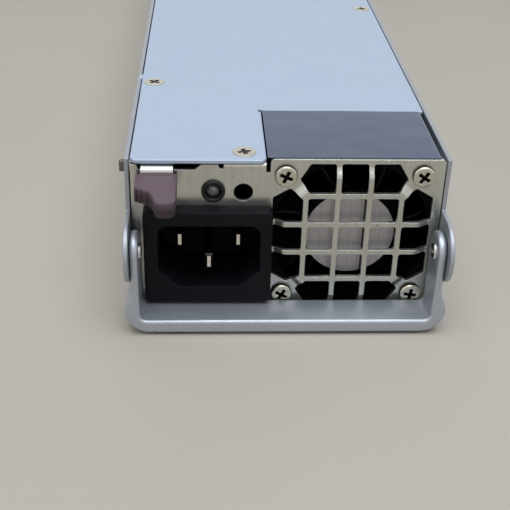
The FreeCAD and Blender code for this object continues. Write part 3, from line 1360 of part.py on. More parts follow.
def noise_choke_windings():
    return Part.makeCompound(ring_turns(NOISE_CHOKE, split_angles(6)) + [choke_base(NOISE_CHOKE)])


def boost_choke_winding():
    return Part.makeCompound(ring_turns(BOOST_CHOKE, even_angles(18)) + [choke_base(BOOST_CHOKE)])


def output_choke_winding():
    return Part.makeCompound(ring_turns(OUTPUT_CHOKE, even_angles(12)) + [choke_base(OUTPUT_CHOKE)])


def film_capacitors():
    cases = []
    for y in FILM_CAP_YS:
        case = box_on_board(BOARD_X - FILM_CAP_SIDE, y, FILM_CAP_SIZE)
        cases.append(case.makeFillet(FILM_CAP_EDGE, [e for e in case.Edges if e.BoundBox.ZLength > 1]))
    return Part.makeCompound(cases)


def ceramic_capacitors():
    discs = []
    z = BOARD_TOP + DISC_R + DISC_LIFT
    half = LEG / 2
    for x, y in DISCS:
        disc = rod_y(x, z, y - DISC_THICK / 2, y + DISC_THICK / 2, DISC_R)
        legs = [centred_box(x + side * DISC_LEG_OUT, y, half, half, BOARD_TOP, z - 2) for side in (-1, 1)]
        discs.append(fuse([disc] + legs))
    return Part.makeCompound(discs)


def inrush_relay():
    case = box_on_board(-BOARD_X + RELAY_SIDE, RELAY_Y, RELAY_SIZE)
    return case.makeFillet(RELAY_EDGE, case.Edges)


def bulk_capacitors():
    """Large electrolytic cans lying along the case, each with a rolled groove."""
    cans = []
    z = BOARD_TOP + BULK_R
    start, stop, deep = BULK_GROOVE
    sunk, rim = BULK_END
    for y in BULK_YS:
        can = rod_y(BULK_X, z, y, y + BULK_LENGTH, BULK_R)
        groove = ring_y(BULK_X, z, y + start, y + stop, BULK_R - deep, BULK_R + 1)
        end = rod_y(BULK_X, z, y - 1, y + sunk, BULK_R - rim)
        cans.append(can.cut([groove, end]))
    return Part.makeCompound(cans)


def bridge_rectifier():
    x, y = BRIDGE_AT
    low = BOARD_TOP + BRIDGE_UP[0]
    high = BOARD_TOP + BRIDGE_UP[1]
    package = centred_box(x, y, BRIDGE_HALF, BRIDGE_HALF_THICK, low, high)
    legs = []
    for k in (-1.5, -0.5, 0.5, 1.5):
        legs.append(centred_box(x + k * BRIDGE_LEG_PITCH, y, 0.5, LEG / 2, BOARD_TOP, low + 0.5))
    return fuse([package] + legs)


def finned_bar(x, y, length, side):
    """Extruded heat sink standing on the board, fins to one side."""
    web = box(x, x + SINK_WEB, y, y + length, BOARD_TOP, BOARD_TOP + SINK_HEIGHT)
    pitch = (SINK_HEIGHT - FIN_THICK) / (FINS - 1)
    fins = []
    for k in range(FINS):
        z = BOARD_TOP + k * pitch
        x0, x1 = sorted((x + SINK_WEB / 2, x + SINK_WEB / 2 + side * (SINK_WEB / 2 + FIN_LENGTH)))
        fins.append(box(x0, x1, y, y + length, z, z + FIN_THICK))
    return fuse([web] + fins)


def primary_heat_sink():
    return finned_bar(SINK_X + FIN_LENGTH, SINK_START, SINK_LENGTH, -1)


def output_heat_sink():
    return finned_bar(SINK_X + FIN_LENGTH, OUT_SINK_START, OUT_SINK_LENGTH, -1)


def transistors_on(x, first, count, pitch):
    """Flat power packages standing in a row against a heat sink."""
    packages = []
    half = LEG / 2
    tab_low, tab_high = PACKAGE_TAB_UP
    for k in range(count):
        y = first + pitch * k
        front = y - PACKAGE_HALF
        rear = y + PACKAGE_HALF
        body = box(x, x + PACKAGE_THICK, front, rear, BOARD_TOP + PACKAGE_UP[0], BOARD_TOP + PACKAGE_UP[1])
        tab = box(x, x + PACKAGE_TAB, front, rear, BOARD_TOP + tab_low, BOARD_TOP + tab_high)
        legs = []
        for side in (-1, 0, 1):
            leg_y = y + side * PACKAGE_LEG_PITCH
            legs.append(box(x + PACKAGE_LEG[0], x + PACKAGE_LEG[1], leg_y - half, leg_y + half, BOARD_TOP,
                            BOARD_TOP + PACKAGE_UP[0] + 0.5))
        hole = rod_x(x - 1, x + 3, y, BOARD_TOP + PACKAGE_HOLE_UP, PACKAGE_HOLE_R)
        packages.append(fuse([body, tab] + legs).cut(hole))
    return Part.makeCompound(packages)


def power_transistors():
    return transistors_on(SINK_FACE, SINK_START + PACKAGE_START, PRIMARY_PACKAGES, PRIMARY_PITCH)


def output_rectifiers():
    return transistors_on(SINK_FACE, OUT_SINK_START + PACKAGE_START, OUTPUT_PACKAGES, OUTPUT_PITCH)


def core_window():
    """Lower and upper edge of the core's two windows."""
    low = BOARD_TOP + TRANSFORMER_LIFT + CORE_LEG / 2
    return low, low + CORE_H - CORE_LEG


def transformer_core():
    """Ferrite frame with a centre leg, in the plane across the case."""
    x, y = TRANSFORMER_AT
    low = BOARD_TOP + TRANSFORMER_LIFT
    frame = centred_box(x, y, CORE_W / 2, CORE_L / 2, low, low + CORE_H)
    window_low, window_high = core_window()
    windows = []
    for side in (-1, 1):
        a = x + side * CORE_CENTRE / 2
        b = x + side * (CORE_W / 2 - CORE_LEG / 2)
        windows.append(box(min(a, b), max(a, b), y - CORE_L, y + CORE_L, window_low, window_high))
    return frame.cut(windows)


def round_the_leg(extra, radius):
    """Rounded outline round the centre leg of the transformer."""
    x, y = TRANSFORMER_AT
    half_w = CORE_CENTRE / 2 + extra
    half_l = CORE_L / 2 + extra
    return rectangle(x - half_w, x + half_w, y - half_l, y + half_l, radius)


def coil_tube(inner, outer, z0, z1):
    """Ring round the centre leg, between two distances from it."""
    hole = plate_z(round_the_leg(inner, 0.3), z0 - 1, z1 + 1)
    return plate_z(round_the_leg(outer, 2.0), z0, z1).cut(hole)


def transformer_bobbin():
    low, high = core_window()
    z0 = low + BOBBIN_GAP
    z1 = high - BOBBIN_GAP
    sleeve = coil_tube(BOBBIN_GAP, BOBBIN_WALL, z0, z1)
    ends = [coil_tube(BOBBIN_GAP, BOBBIN_FLANGE, z0, z0 + BOBBIN_FLANGE_THICK),
            coil_tube(BOBBIN_GAP, BOBBIN_FLANGE, z1 - BOBBIN_FLANGE_THICK, z1)]
    bobbin = fuse([sleeve] + ends)
    x, y = TRANSFORMER_AT
    legs = []
    for side in (-1, 1):
        middle = y + side * (CORE_L / 2 + BOBBIN_FOOT_OUT)
        leg = centred_box(x, middle, BOBBIN_FOOT_HALF, BOBBIN_FOOT_THICK, BOARD_TOP, low + 0.6)
        inside = BOBBIN_FOOT_HALF - BOBBIN_FOOT_WIDTH
        legs.append(leg.cut(centred_box(x, middle, inside, 2 * BOBBIN_FOOT_THICK, BOARD_TOP - 1, low - 1)))
    return fuse([bobbin] + legs)


def transformer_windings():
    low, high = core_window()
    return coil_tube(BOBBIN_WALL + BOBBIN_GAP, WINDING_OUT, low + BOBBIN_WALL, high - BOBBIN_WALL)


def output_capacitors():
    cans = []
    start, stop, deep = CAN_GROOVE
    for x, y in OUTPUT_CANS:
        can = rod_z(x, y, BOARD_TOP, BOARD_TOP + CAN_HEIGHT, CAN_R)
        cans.append(can.cut(ring_z(x, y, BOARD_TOP + start, BOARD_TOP + stop, CAN_R - deep, CAN_R + 1)))
    return Part.makeCompound(cans)


def control_board():
    """Upright daughter board with its chips and edge pins."""
    x = CONTROL_X
    end = CONTROL_Y + CONTROL_LENGTH
    board = box(x, x + CONTROL_THICK, CONTROL_Y, end, BOARD_TOP + CONTROL_LIFT, BOARD_TOP + CONTROL_HEIGHT)
    chips = []
    for along, up, half in CHIPS:
        y = CONTROL_Y + along
        z = BOARD_TOP + up
        chips.append(box(x - CHIP_THICK, x + 0.1, y - half, y + half, z - half, z + half))
    rail = box(x - 1.0, x + CONTROL_THICK + 0.8, CONTROL_Y + RAIL_INSET, end - RAIL_INSET, BOARD_TOP,
               BOARD_TOP + RAIL_HEIGHT)
    return fuse([board, rail] + chips)


# ---- output connector ----

def power_slot_xs():
    first = OUT_X - OUT_WIDTH / 2 + POWER_EDGE
    return [first + k * POWER_PITCH for k in range(POWER_SLOTS)]


def signal_places():
    first = OUT_X + OUT_WIDTH / 2 - SIGNAL_EDGE - (SIGNAL_COLUMNS - 1) * SIGNAL_PITCH
    return [(first + c * SIGNAL_PITCH, OUT_MIDDLE_Z + (r - (SIGNAL_ROWS - 1) / 2) * SIGNAL_PITCH)
            for c in range(SIGNAL_COLUMNS) for r in range(SIGNAL_ROWS)]


def output_connector():
    half = OUT_WIDTH / 2
    block = box(OUT_X - half, OUT_X + half, OUT_FRONT, OUT_REAR, BOARD_TOP, BOARD_TOP + OUT_HEIGHT)
    block = block.makeChamfer(MOUTH_EDGE, [e for e in block.Edges if e.BoundBox.YMin > OUT_REAR - 0.01])
    mouth = OUT_FRONT + MOUTH_START
    low = OUT_MIDDLE_Z - SLOT_H / 2
    high = OUT_MIDDLE_Z + SLOT_H / 2
    tools = []
    for x in power_slot_xs():
        tools.append(box(x - SLOT_W / 2, x + SLOT_W / 2, mouth, OUT_REAR + 1, low, high))
        tools.append(box(x - CONTACT_THICK / 2, x + CONTACT_THICK / 2, OUT_FRONT - 1, mouth + 1, low, high))
    hole = SIGNAL_HOLE / 2
    pin = PIN_SIZE / 2
    for x, z in signal_places():
        tools.append(box(x - hole, x + hole, mouth, OUT_REAR + 1, z - hole, z + hole))
        tools.append(box(x - pin, x + pin, OUT_FRONT - 1, mouth + 1, z - pin, z + pin))
    return block.cut(tools)


def output_contacts():
    plates = []
    low = OUT_MIDDLE_Z - SLOT_H / 2 + FIT
    high = OUT_MIDDLE_Z + SLOT_H / 2 - FIT
    half = CONTACT_THICK / 2
    foot_y = OUT_FRONT - FOOT_BACK
    for x in power_slot_xs():
        plate = box(x - half, x + half, OUT_FRONT - CONTACT_BACK, OUT_REAR - CONTACT_BACK, low, high)
        foot = box(x - half, x + half, foot_y, foot_y + 2.0, BOARD_TOP, high)
        plates.append(fuse([plate, foot]))
    return Part.makeCompound(plates)


def signal_pins():
    half = PIN_SIZE / 2 - FIT
    pins = []
    for x, z in signal_places():
        reach = OUT_FRONT - CONTACT_BACK - (z - BOARD_TOP) / 3
        shaft = box(x - half, x + half, reach, OUT_REAR - CONTACT_BACK, z - half, z + half)
        leg = box(x - half, x + half, reach - 2 * half, reach, BOARD_TOP, z + half)
        pins.append(fuse([shaft, leg]))
    return Part.makeCompound(pins)


PIECES = {
    "chassis_tray": chassis_tray,
    "face_panel": face_panel,
    "rear_panel": rear_panel,
    "top_cover": top_cover,
    "cover_screws": cover_screws,
    "fan_shield_film": fan_shield_film,
    "fan_frame": fan_frame,
    "fan_label": fan_label,
    "fan_screws": fan_screws,
    "fan_stator": fan_stator,
    "fan_coils": fan_coils,
    "fan_bearings": fan_bearings,
    "fan_shaft": fan_shaft,
    "impeller": impeller,
    "magnet_ring": magnet_ring,
    "fan_leads": fan_leads,
    "fan_plug": fan_plug,
    "inlet_housing": inlet_housing,
    "live_blades": live_blades,
    "earth_blade": earth_blade,
    "lamp_bezel": lamp_bezel,
    "lamp_lens": lamp_lens,
    "lamp_leads": lamp_leads,
    "bail_handle": bail_handle,
    "handle_rivets": handle_rivets,
    "latch_lever": latch_lever,
    "thumb_tab": thumb_tab,
    "latch_bracket": latch_bracket,
    "latch_pin": latch_pin,
    "latch_spring": latch_spring,
    "main_board": main_board,
    "insulating_sheet": insulating_sheet,
    "standoffs": standoffs,
    "board_screws": board_screws,
    "mains_fuse": fuse_holder,
    "noise_choke_core": noise_choke_core,
    "noise_choke_windings": noise_choke_windings,
    "film_capacitors": film_capacitors,
    "ceramic_capacitors": ceramic_capacitors,
    "inrush_relay": inrush_relay,
    "boost_choke_core": boost_choke_core,
    "boost_choke_winding": boost_choke_winding,
    "bulk_capacitors": bulk_capacitors,
    "bridge_rectifier": bridge_rectifier,
    "primary_heat_sink": primary_heat_sink,
    "power_transistors": power_transistors,
    "transformer_core": transformer_core,
    "transformer_bobbin": transformer_bobbin,
    "transformer_windings": transformer_windings,
    "output_heat_sink": output_heat_sink,
    "output_rectifiers": output_rectifiers,
    "output_choke_core": output_choke_core,
    "output_choke_winding": output_choke_winding,
    "output_capacitors": output_capacitors,
    "control_board": control_board,
    "output_connector": output_connector,
    "output_contacts": output_contacts,
    "signal_pins": signal_pins,
}

os.makedirs("parts", exist_ok=True)
for name, make in PIECES.items():
    shape = make()
    print(f"{name:24s} solids {len(shape.Solids):3d} volume {shape.Volume:10.2f} valid {shape.isValid()}")
    shape.exportStep(os.path.join("parts", name + ".step"))
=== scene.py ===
"""Hot swap server power supply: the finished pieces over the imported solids.

Metres, in the frame of the solids: +X right seen from the front, +Y into the case, +Z up.
"""

import math

import bmesh
import bpy
from mathutils import Matrix, Vector


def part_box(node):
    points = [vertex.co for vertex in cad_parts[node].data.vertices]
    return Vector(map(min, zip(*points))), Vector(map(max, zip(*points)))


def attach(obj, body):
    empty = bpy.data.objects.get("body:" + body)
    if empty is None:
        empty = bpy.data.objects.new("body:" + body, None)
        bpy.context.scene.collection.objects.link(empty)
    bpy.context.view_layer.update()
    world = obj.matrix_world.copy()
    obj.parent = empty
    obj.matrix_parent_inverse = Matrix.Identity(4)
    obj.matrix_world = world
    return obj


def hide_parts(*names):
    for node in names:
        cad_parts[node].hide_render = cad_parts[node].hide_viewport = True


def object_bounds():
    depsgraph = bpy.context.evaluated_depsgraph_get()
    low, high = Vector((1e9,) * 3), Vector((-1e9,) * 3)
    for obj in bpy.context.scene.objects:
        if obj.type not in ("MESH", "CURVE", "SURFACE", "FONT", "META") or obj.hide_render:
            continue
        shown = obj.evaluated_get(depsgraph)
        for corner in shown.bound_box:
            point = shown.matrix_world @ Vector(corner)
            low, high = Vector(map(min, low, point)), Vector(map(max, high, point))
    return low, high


bl_info = {
    "name": "Hot swap power supply",
    "version": (1, 0, 0),
    "blender": (4, 5, 0),
    "location": "3D View > Sidebar > Power supply",
    "description": "Makes the finished pieces of a hot swap server power supply",
    "category": "Object",
}

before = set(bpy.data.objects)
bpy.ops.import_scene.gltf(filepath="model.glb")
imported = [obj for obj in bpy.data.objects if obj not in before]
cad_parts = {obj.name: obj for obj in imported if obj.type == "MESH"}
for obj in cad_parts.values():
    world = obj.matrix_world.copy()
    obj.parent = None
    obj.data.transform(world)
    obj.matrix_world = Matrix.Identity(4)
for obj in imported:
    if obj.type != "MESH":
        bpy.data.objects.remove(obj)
SOLIDS_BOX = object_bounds()
MM = 0.001

# ---- places and sizes, in the frame of the solids ----

FAN_AXIS = (sum(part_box("fan_label"), Vector()) / 2).xz
FAN_HALF = 20.0 * MM
FAN_SCREW_OUT = 16.0 * MM       # screws from the fan's axis, across and up
FAN_SCREW_HOLE = 1.82 * MM
LIVE_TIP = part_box("live_blades")[0].y
EARTH_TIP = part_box("earth_blade")[0].y
COVER_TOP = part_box("top_cover")[1].z
TAB_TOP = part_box("thumb_tab")[1].z

# places along the top of the face, from right to left
SLOT_RIGHT = -4.2 * MM          # slot beside the fan
SLOT_LEFT = -5.2 * MM
FOLD_LEFT = -15.0 * MM          # from the slot to here the sheet folds back
EAR_RIGHT = -16.1 * MM          # raised ear that the cover rests on
EAR_LEFT = -20.1 * MM
EAR_FOOT = -21.6 * MM
SHELF_LEFT = -34.3 * MM         # low shelf that the latch passes over
CORNER_RIGHT = -35.2 * MM
# heights along the top of the face
SLOT_FLOOR = 37.6 * MM
SHELF_Z = 38.3 * MM
FOLD_Z = 38.6 * MM
EAR_Z = 39.6 * MM

FLANGE_EDGE = 0.25 * MM         # rounding of the folded flanges
FLANGE_START = 0.3 * MM
LEFT_FLANGE_TOP = 35.3 * MM
INLET_MIDDLE = (-18.35 * MM, 17.45 * MM)
INLET_HALF = (13.7 * MM, 9.8 * MM)
INLET_CORNER = 0.8 * MM
LAMP_HOLE = (-17.4 * MM, 33.0 * MM, 2.3 * MM)       # x, z, radius
SPARE_HOLE = (-10.4 * MM, 32.6 * MM, 2.25 * MM)

# windows in the corners of the grille, beside the middle ones
BESIDE_TOP = 5.95 * MM          # width at the outer edge
BESIDE_FOOT = 6.05 * MM         # width at the inner edge
BESIDE_POINT = 2.4 * MM         # how far the outer corner stands out sideways from the outer edge
BESIDE_DROP = 4.0 * MM          # how far that corner lies in from the outer edge

ARM_OUT = 36.45 * MM            # outer side of the handle's arms at the pivots
ARM_STRAIGHT = 8.2 * MM         # from the pivot down to where the arms flare
BEND_OUT = 5.8 * MM             # radii of the handle's lower corners
BEND_IN = 1.6 * MM
RIVET_R = 2.0 * MM
RIVET_HEAD = 0.6 * MM
RIVET_PLAY = 0.06 * MM          # between an arm and the head inside it

# cross of each fan screw, turned in radians, by its side of the fan's axis
FAN_SCREW_TURNS = {(-1, -1): 0.5, (-1, 1): 0.42, (1, -1): 0.15, (1, 1): 0.6}
# cover screws: x and y in millimetres, and the turn of the cross
COVER_SCREWS = ((-10.2, 4.2, 0.3), (-33.0, 49.2, 0.9), (33.0, 120.0, 0.2), (-33.0, 190.0, 1.2),
                (33.0, 262.0, 0.6))

CAMERA_PLACE = (-0.0187, -0.2001, 0.1341)
CAMERA_TURNS = (("Z", -0.0571), ("X", -0.5336), ("Y", -0.0290))
CAMERA_LENS = 68.13
TOP_LAMP = dict(place=(0.05, -0.16, 0.8), target=(0, 0.05, 0), size=0.9, colour=(0.90, 0.95, 1.0))
SIDE_LAMP = dict(place=(-0.8, -0.3, 0.5), target=(0, 0.05, 0.02), size=0.5, colour=(1, 0.98, 0.95))
FLOOR_HALF = 4.0
FLOOR_GAP = 0.05 * MM           # keeps the floor clear of the underside

EDGE_ANGLE = 34.0               # degrees past which an edge of a copied solid counts as sharp
FILM_WAVE = 0.03 * MM           # height of the film's waves
FILM_WAVE_X = 4.1 * MM          # their length over 2 pi, across and then into the case
FILM_WAVE_Y = 5.3 * MM

MADE = {}                       # finishes by slot
BUILT = {}                      # node trees that are shared, by name


# ---- small tools ----

def linear(*screen):
    """Screen colour from 0 to 255 as the value that a shader takes."""
    return [((c / 255 + 0.055) / 1.055) ** 2.4 if c > 10 else c / 255 / 12.92 for c in screen]


def feed(tree, node, inputs):
    """Fills a node's sockets with values, or with links from sockets or whole nodes."""
    for key, value in inputs.items():
        if isinstance(value, bpy.types.Node):
            value = value.outputs[0]
        if isinstance(value, bpy.types.NodeSocket):
            tree.links.new(value, node.inputs[key])
        else:
            node.inputs[key].default_value = value
    return node


def put(tree, kind, inputs=None, **settings):
    """Adds a node, sets it and fills its sockets."""
    node = tree.nodes.new(kind)
    for key, value in settings.items():
        setattr(node, key, value)
    return feed(tree, node, inputs or {})


def maths(tree, operation, first, second):
    """Arithmetic on two values."""
    return put(tree, "ShaderNodeMath", {0: first, 1: second}, operation=operation)


def ranged(tree, value, start, end, low=0.0, high=1.0, **settings):
    """Maps a value from start and end to low and high."""
    return put(tree, "ShaderNodeMapRange", {0: value, 1: start, 2: end, 3: low, 4: high}, **settings)


def new_group(name, kind, inputs, outputs):
    """Node group with named sockets given as (name, type, default), and (name, type)."""
    tree = bpy.data.node_groups.new(name, kind)
    for label, socket, default in inputs:
        made = tree.interface.new_socket(label, in_out="INPUT", socket_type="NodeSocket" + socket)
        if default is not None:
            made.default_value = default
    for label, socket in outputs:
        tree.interface.new_socket(label, in_out="OUTPUT", socket_type="NodeSocket" + socket)
    return tree, tree.nodes.new("NodeGroupInput").outputs, tree.nodes.new("NodeGroupOutput")


def shown(name, data):
    """Object of the scene that holds a mesh, a lamp or a camera."""
    made = bpy.data.objects.new(name, data)
    bpy.context.scene.collection.objects.link(made)
    return made


def applied(piece):
    """Turns a piece and its modifiers into a plain mesh."""
    graph = bpy.context.evaluated_depsgraph_get()
    plain = bpy.data.meshes.new_from_object(piece.evaluated_get(graph), depsgraph=graph)
    piece.modifiers.clear()
    piece.data = plain
    plain.name = piece.name
    return piece


def smoothed(piece, angle):
    """Shades a piece smooth, with edges sharper than an angle in degrees kept sharp."""
    piece.data.shade_smooth()
    piece.data.set_sharp_from_angle(angle=math.radians(angle))


def carried(piece, body, slot, *nodes):
    """Hands a finished piece to its body, its finish and the solids it stands for."""
    if slot in MADE and not piece.data.materials:
        piece.data.materials.append(MADE[slot])
    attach(piece, body)
    if nodes:
        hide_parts(*nodes)


def mesh_of(name, build):
    """Mesh filled by a function that takes an empty bmesh."""
    bm = bmesh.new()
    build(bm)
    mesh = bpy.data.meshes.new(name)
    bm.to_mesh(mesh)
    bm.free()
    return mesh


def eased_copy(node, width, bevelled=EDGE_ANGLE):
    """Copy of a solid with its sharp edges rounded, and normals that keep wide faces flat."""
    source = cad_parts[node]

    def build(bm):
        bm.from_mesh(source.data)
        bmesh.ops.remove_doubles(bm, verts=bm.verts, dist=2e-6)
        bmesh.ops.dissolve_limit(bm, angle_limit=math.radians(0.6), verts=bm.verts, edges=bm.edges)

    piece = shown(node + "_finished", mesh_of(node, build))
    bevel = piece.modifiers.new("eased edges", "BEVEL")
    bevel.width = width
    bevel.segments = 2
    bevel.limit_method = "ANGLE"
    bevel.angle_limit = math.radians(bevelled)
    bevel.use_clamp_overlap = False
    bevel.miter_outer = "MITER_ARC"
    smoothed(piece, EDGE_ANGLE)
    even = piece.modifiers.new("even normals", "WEIGHTED_NORMAL")
    even.weight = 100
    even.keep_sharp = True
    return applied(piece)


def skin(bm, rings, looped=False):
    """Joins rings of equal point counts, then closes the two ends or joins them to each other."""
    rows = [[bm.verts.new(p) for p in ring] for ring in rings]
    pairs = list(zip(rows, rows[1:])) + ([(rows[-1], rows[0])] if looped else [])
    count = len(rows[0])
    for a, b in pairs:
        for i in range(count):
            j = (i + 1) % count
            bm.faces.new((a[i], a[j], b[j], b[i]))
    if not looped:
        bm.faces.new(list(reversed(rows[0])))
        bm.faces.new(rows[-1])
    bmesh.ops.recalc_face_normals(bm, faces=bm.faces)


def circle(x, z, radius, count=40):
    """Points (x, z) round a circle."""
    return [(x + radius * math.cos(math.tau * k / count), z + radius * math.sin(math.tau * k / count))
            for k in range(count)]


def turned_piece(name, axis, profile, looped):
    """Round piece on an axis along Y, from a profile of (radius, y)."""
    rings = [[(x, y, z) for x, z in circle(*axis, radius, 64)] for radius, y in profile]
    piece = shown(name, mesh_of(name, lambda bm: skin(bm, rings, looped)))
    smoothed(piece, 40.0)
    return piece


def add_box(bm, low, high):
    """Box between two corners, with the rounded edges of a flange."""
    size = Vector(high) - Vector(low)
    place = Matrix.Translation((Vector(high) + Vector(low)) / 2) @ Matrix.Diagonal((*size, 1))
    made = bmesh.ops.create_cube(bm, size=1.0, matrix=place)
    edges = list({e for v in made["verts"] for e in v.link_edges})
    bmesh.ops.bevel(bm, geom=edges, offset=FLANGE_EDGE, segments=2, profile=0.5, affect="EDGES")


# ---- shared effects ----

def grain_group():
    """Streaks or grain, as a shade from 0 to 1 and a height."""
    tree, given, out = new_group("grain", "ShaderNodeTree", [
        ("Vector", "Vector", None), ("Scale", "Float", 1000.0), ("Stretch", "Vector", (1, 1, 1)),
        ("Clouding", "Float", 0.3)], [("Shade", "Float"), ("Height", "Float")])
    pulled = put(tree, "ShaderNodeVectorMath", {0: given["Vector"], 1: given["Stretch"]},
                 operation="MULTIPLY")
    fine = put(tree, "ShaderNodeTexNoise",
               {"Vector": pulled, "Scale": given["Scale"], "Detail": 3.0, "Roughness": 0.6})
    broad = put(tree, "ShaderNodeTexNoise", {"Vector": given["Vector"], "Scale": 60.0, "Detail": 2.0})
    both = put(tree, "ShaderNodeMix", {0: given["Clouding"], 2: fine, 3: broad})
    feed(tree, out, {"Shade": ranged(tree, both, 0.3, 0.7), "Height": fine})
    return tree


def wear_and_highlight_group():
    """Rounded normal at the edges, and a broken mask where they turn bright: worn edges, partly a painted
    edge highlight.
    """
    tree, given, out = new_group("edge wear", "ShaderNodeTree", [
        ("Vector", "Vector", None), ("Radius", "Float", 0.0003), ("Amount", "Float", 0.5),
    ], [("Mask", "Float"), ("Normal", "Vector")])
    eased = put(tree, "ShaderNodeBevel", {"Radius": given["Radius"]}, samples=4)
    facing = put(tree, "ShaderNodeNewGeometry").outputs["Normal"]
    along = put(tree, "ShaderNodeVectorMath", {0: eased, 1: facing}, operation="DOT_PRODUCT")
    edge = ranged(tree, along.outputs["Value"], 0.995, 0.85)
    broken = put(tree, "ShaderNodeTexNoise", {"Vector": given["Vector"], "Scale": 700.0, "Detail": 3.0})
    worn_and_highlight = maths(tree, "MULTIPLY", edge, ranged(tree, broken, 0.4, 0.62))
    feed(tree, out, {"Mask": maths(tree, "MULTIPLY", worn_and_highlight, given["Amount"]), "Normal": eased})
    return tree


def speck_group():
    """Scattered dots: a share of the cells of the given size holds one."""
    tree, given, out = new_group("specks", "ShaderNodeTree", [
        ("Vector", "Vector", None), ("Scale", "Float", 900.0), ("Share", "Float", 0.1),
    ], [("Mask", "Float")])
    cells = put(tree, "ShaderNodeTexVoronoi", {"Vector": given["Vector"], "Scale": given["Scale"]})
    dot = ranged(tree, cells.outputs["Distance"], 0.12, 0.24, 1.0, 0.0)
    lot = put(tree, "ShaderNodeSeparateColor", {0: cells.outputs["Color"]})
    kept = maths(tree, "LESS_THAN", lot, given["Share"])
    feed(tree, out, {"Mask": maths(tree, "MULTIPLY", dot, kept)})
    return tree


def marks_group():
    """Soft handling marks, from 0 to 1."""
    tree, given, out = new_group("handling marks", "ShaderNodeTree", [
        ("Vector", "Vector", None), ("Scale", "Float", 90.0)], [("Value", "Float")])
    soft = put(tree, "ShaderNodeTexNoise",
               {"Vector": given["Vector"], "Scale": given["Scale"], "Detail": 4.0, "Distortion": 0.6})
    feed(tree, out, {"Value": ranged(tree, soft, 0.32, 0.68)})
    return tree


def rules_group():
    """Parallel lines of a given width, a spacing apart along a direction."""
    tree, given, out = new_group("ruled lines", "ShaderNodeTree", [
        ("Vector", "Vector", None), ("Direction", "Vector", (1, 0, 0)), ("Spacing", "Float", 0.002),
        ("Width", "Float", 0.3)], [("Mask", "Float")])
    along = put(tree, "ShaderNodeVectorMath", {0: given["Vector"], 1: given["Direction"]},
                operation="DOT_PRODUCT")
    turns = maths(tree, "DIVIDE", along.outputs["Value"], given["Spacing"])
    wave = maths(tree, "PINGPONG", turns, 0.5)
    edge = maths(tree, "MULTIPLY", given["Width"], 0.5)
    soft = maths(tree, "MULTIPLY", edge, 0.8)
    feed(tree, out, {"Mask": ranged(tree, wave, soft, edge, 1.0, 0.0)})
    return tree


EFFECTS = {"grain": grain_group, "wear": wear_and_highlight_group, "specks": speck_group, "marks": marks_group,
           "rules": rules_group}


def effect(tree, name, inputs):
    """Places a shared effect in a material, building it the first time."""
    if name not in BUILT:
        BUILT[name] = EFFECTS[name]()
    return put(tree, "ShaderNodeGroup", inputs, node_tree=BUILT[name])
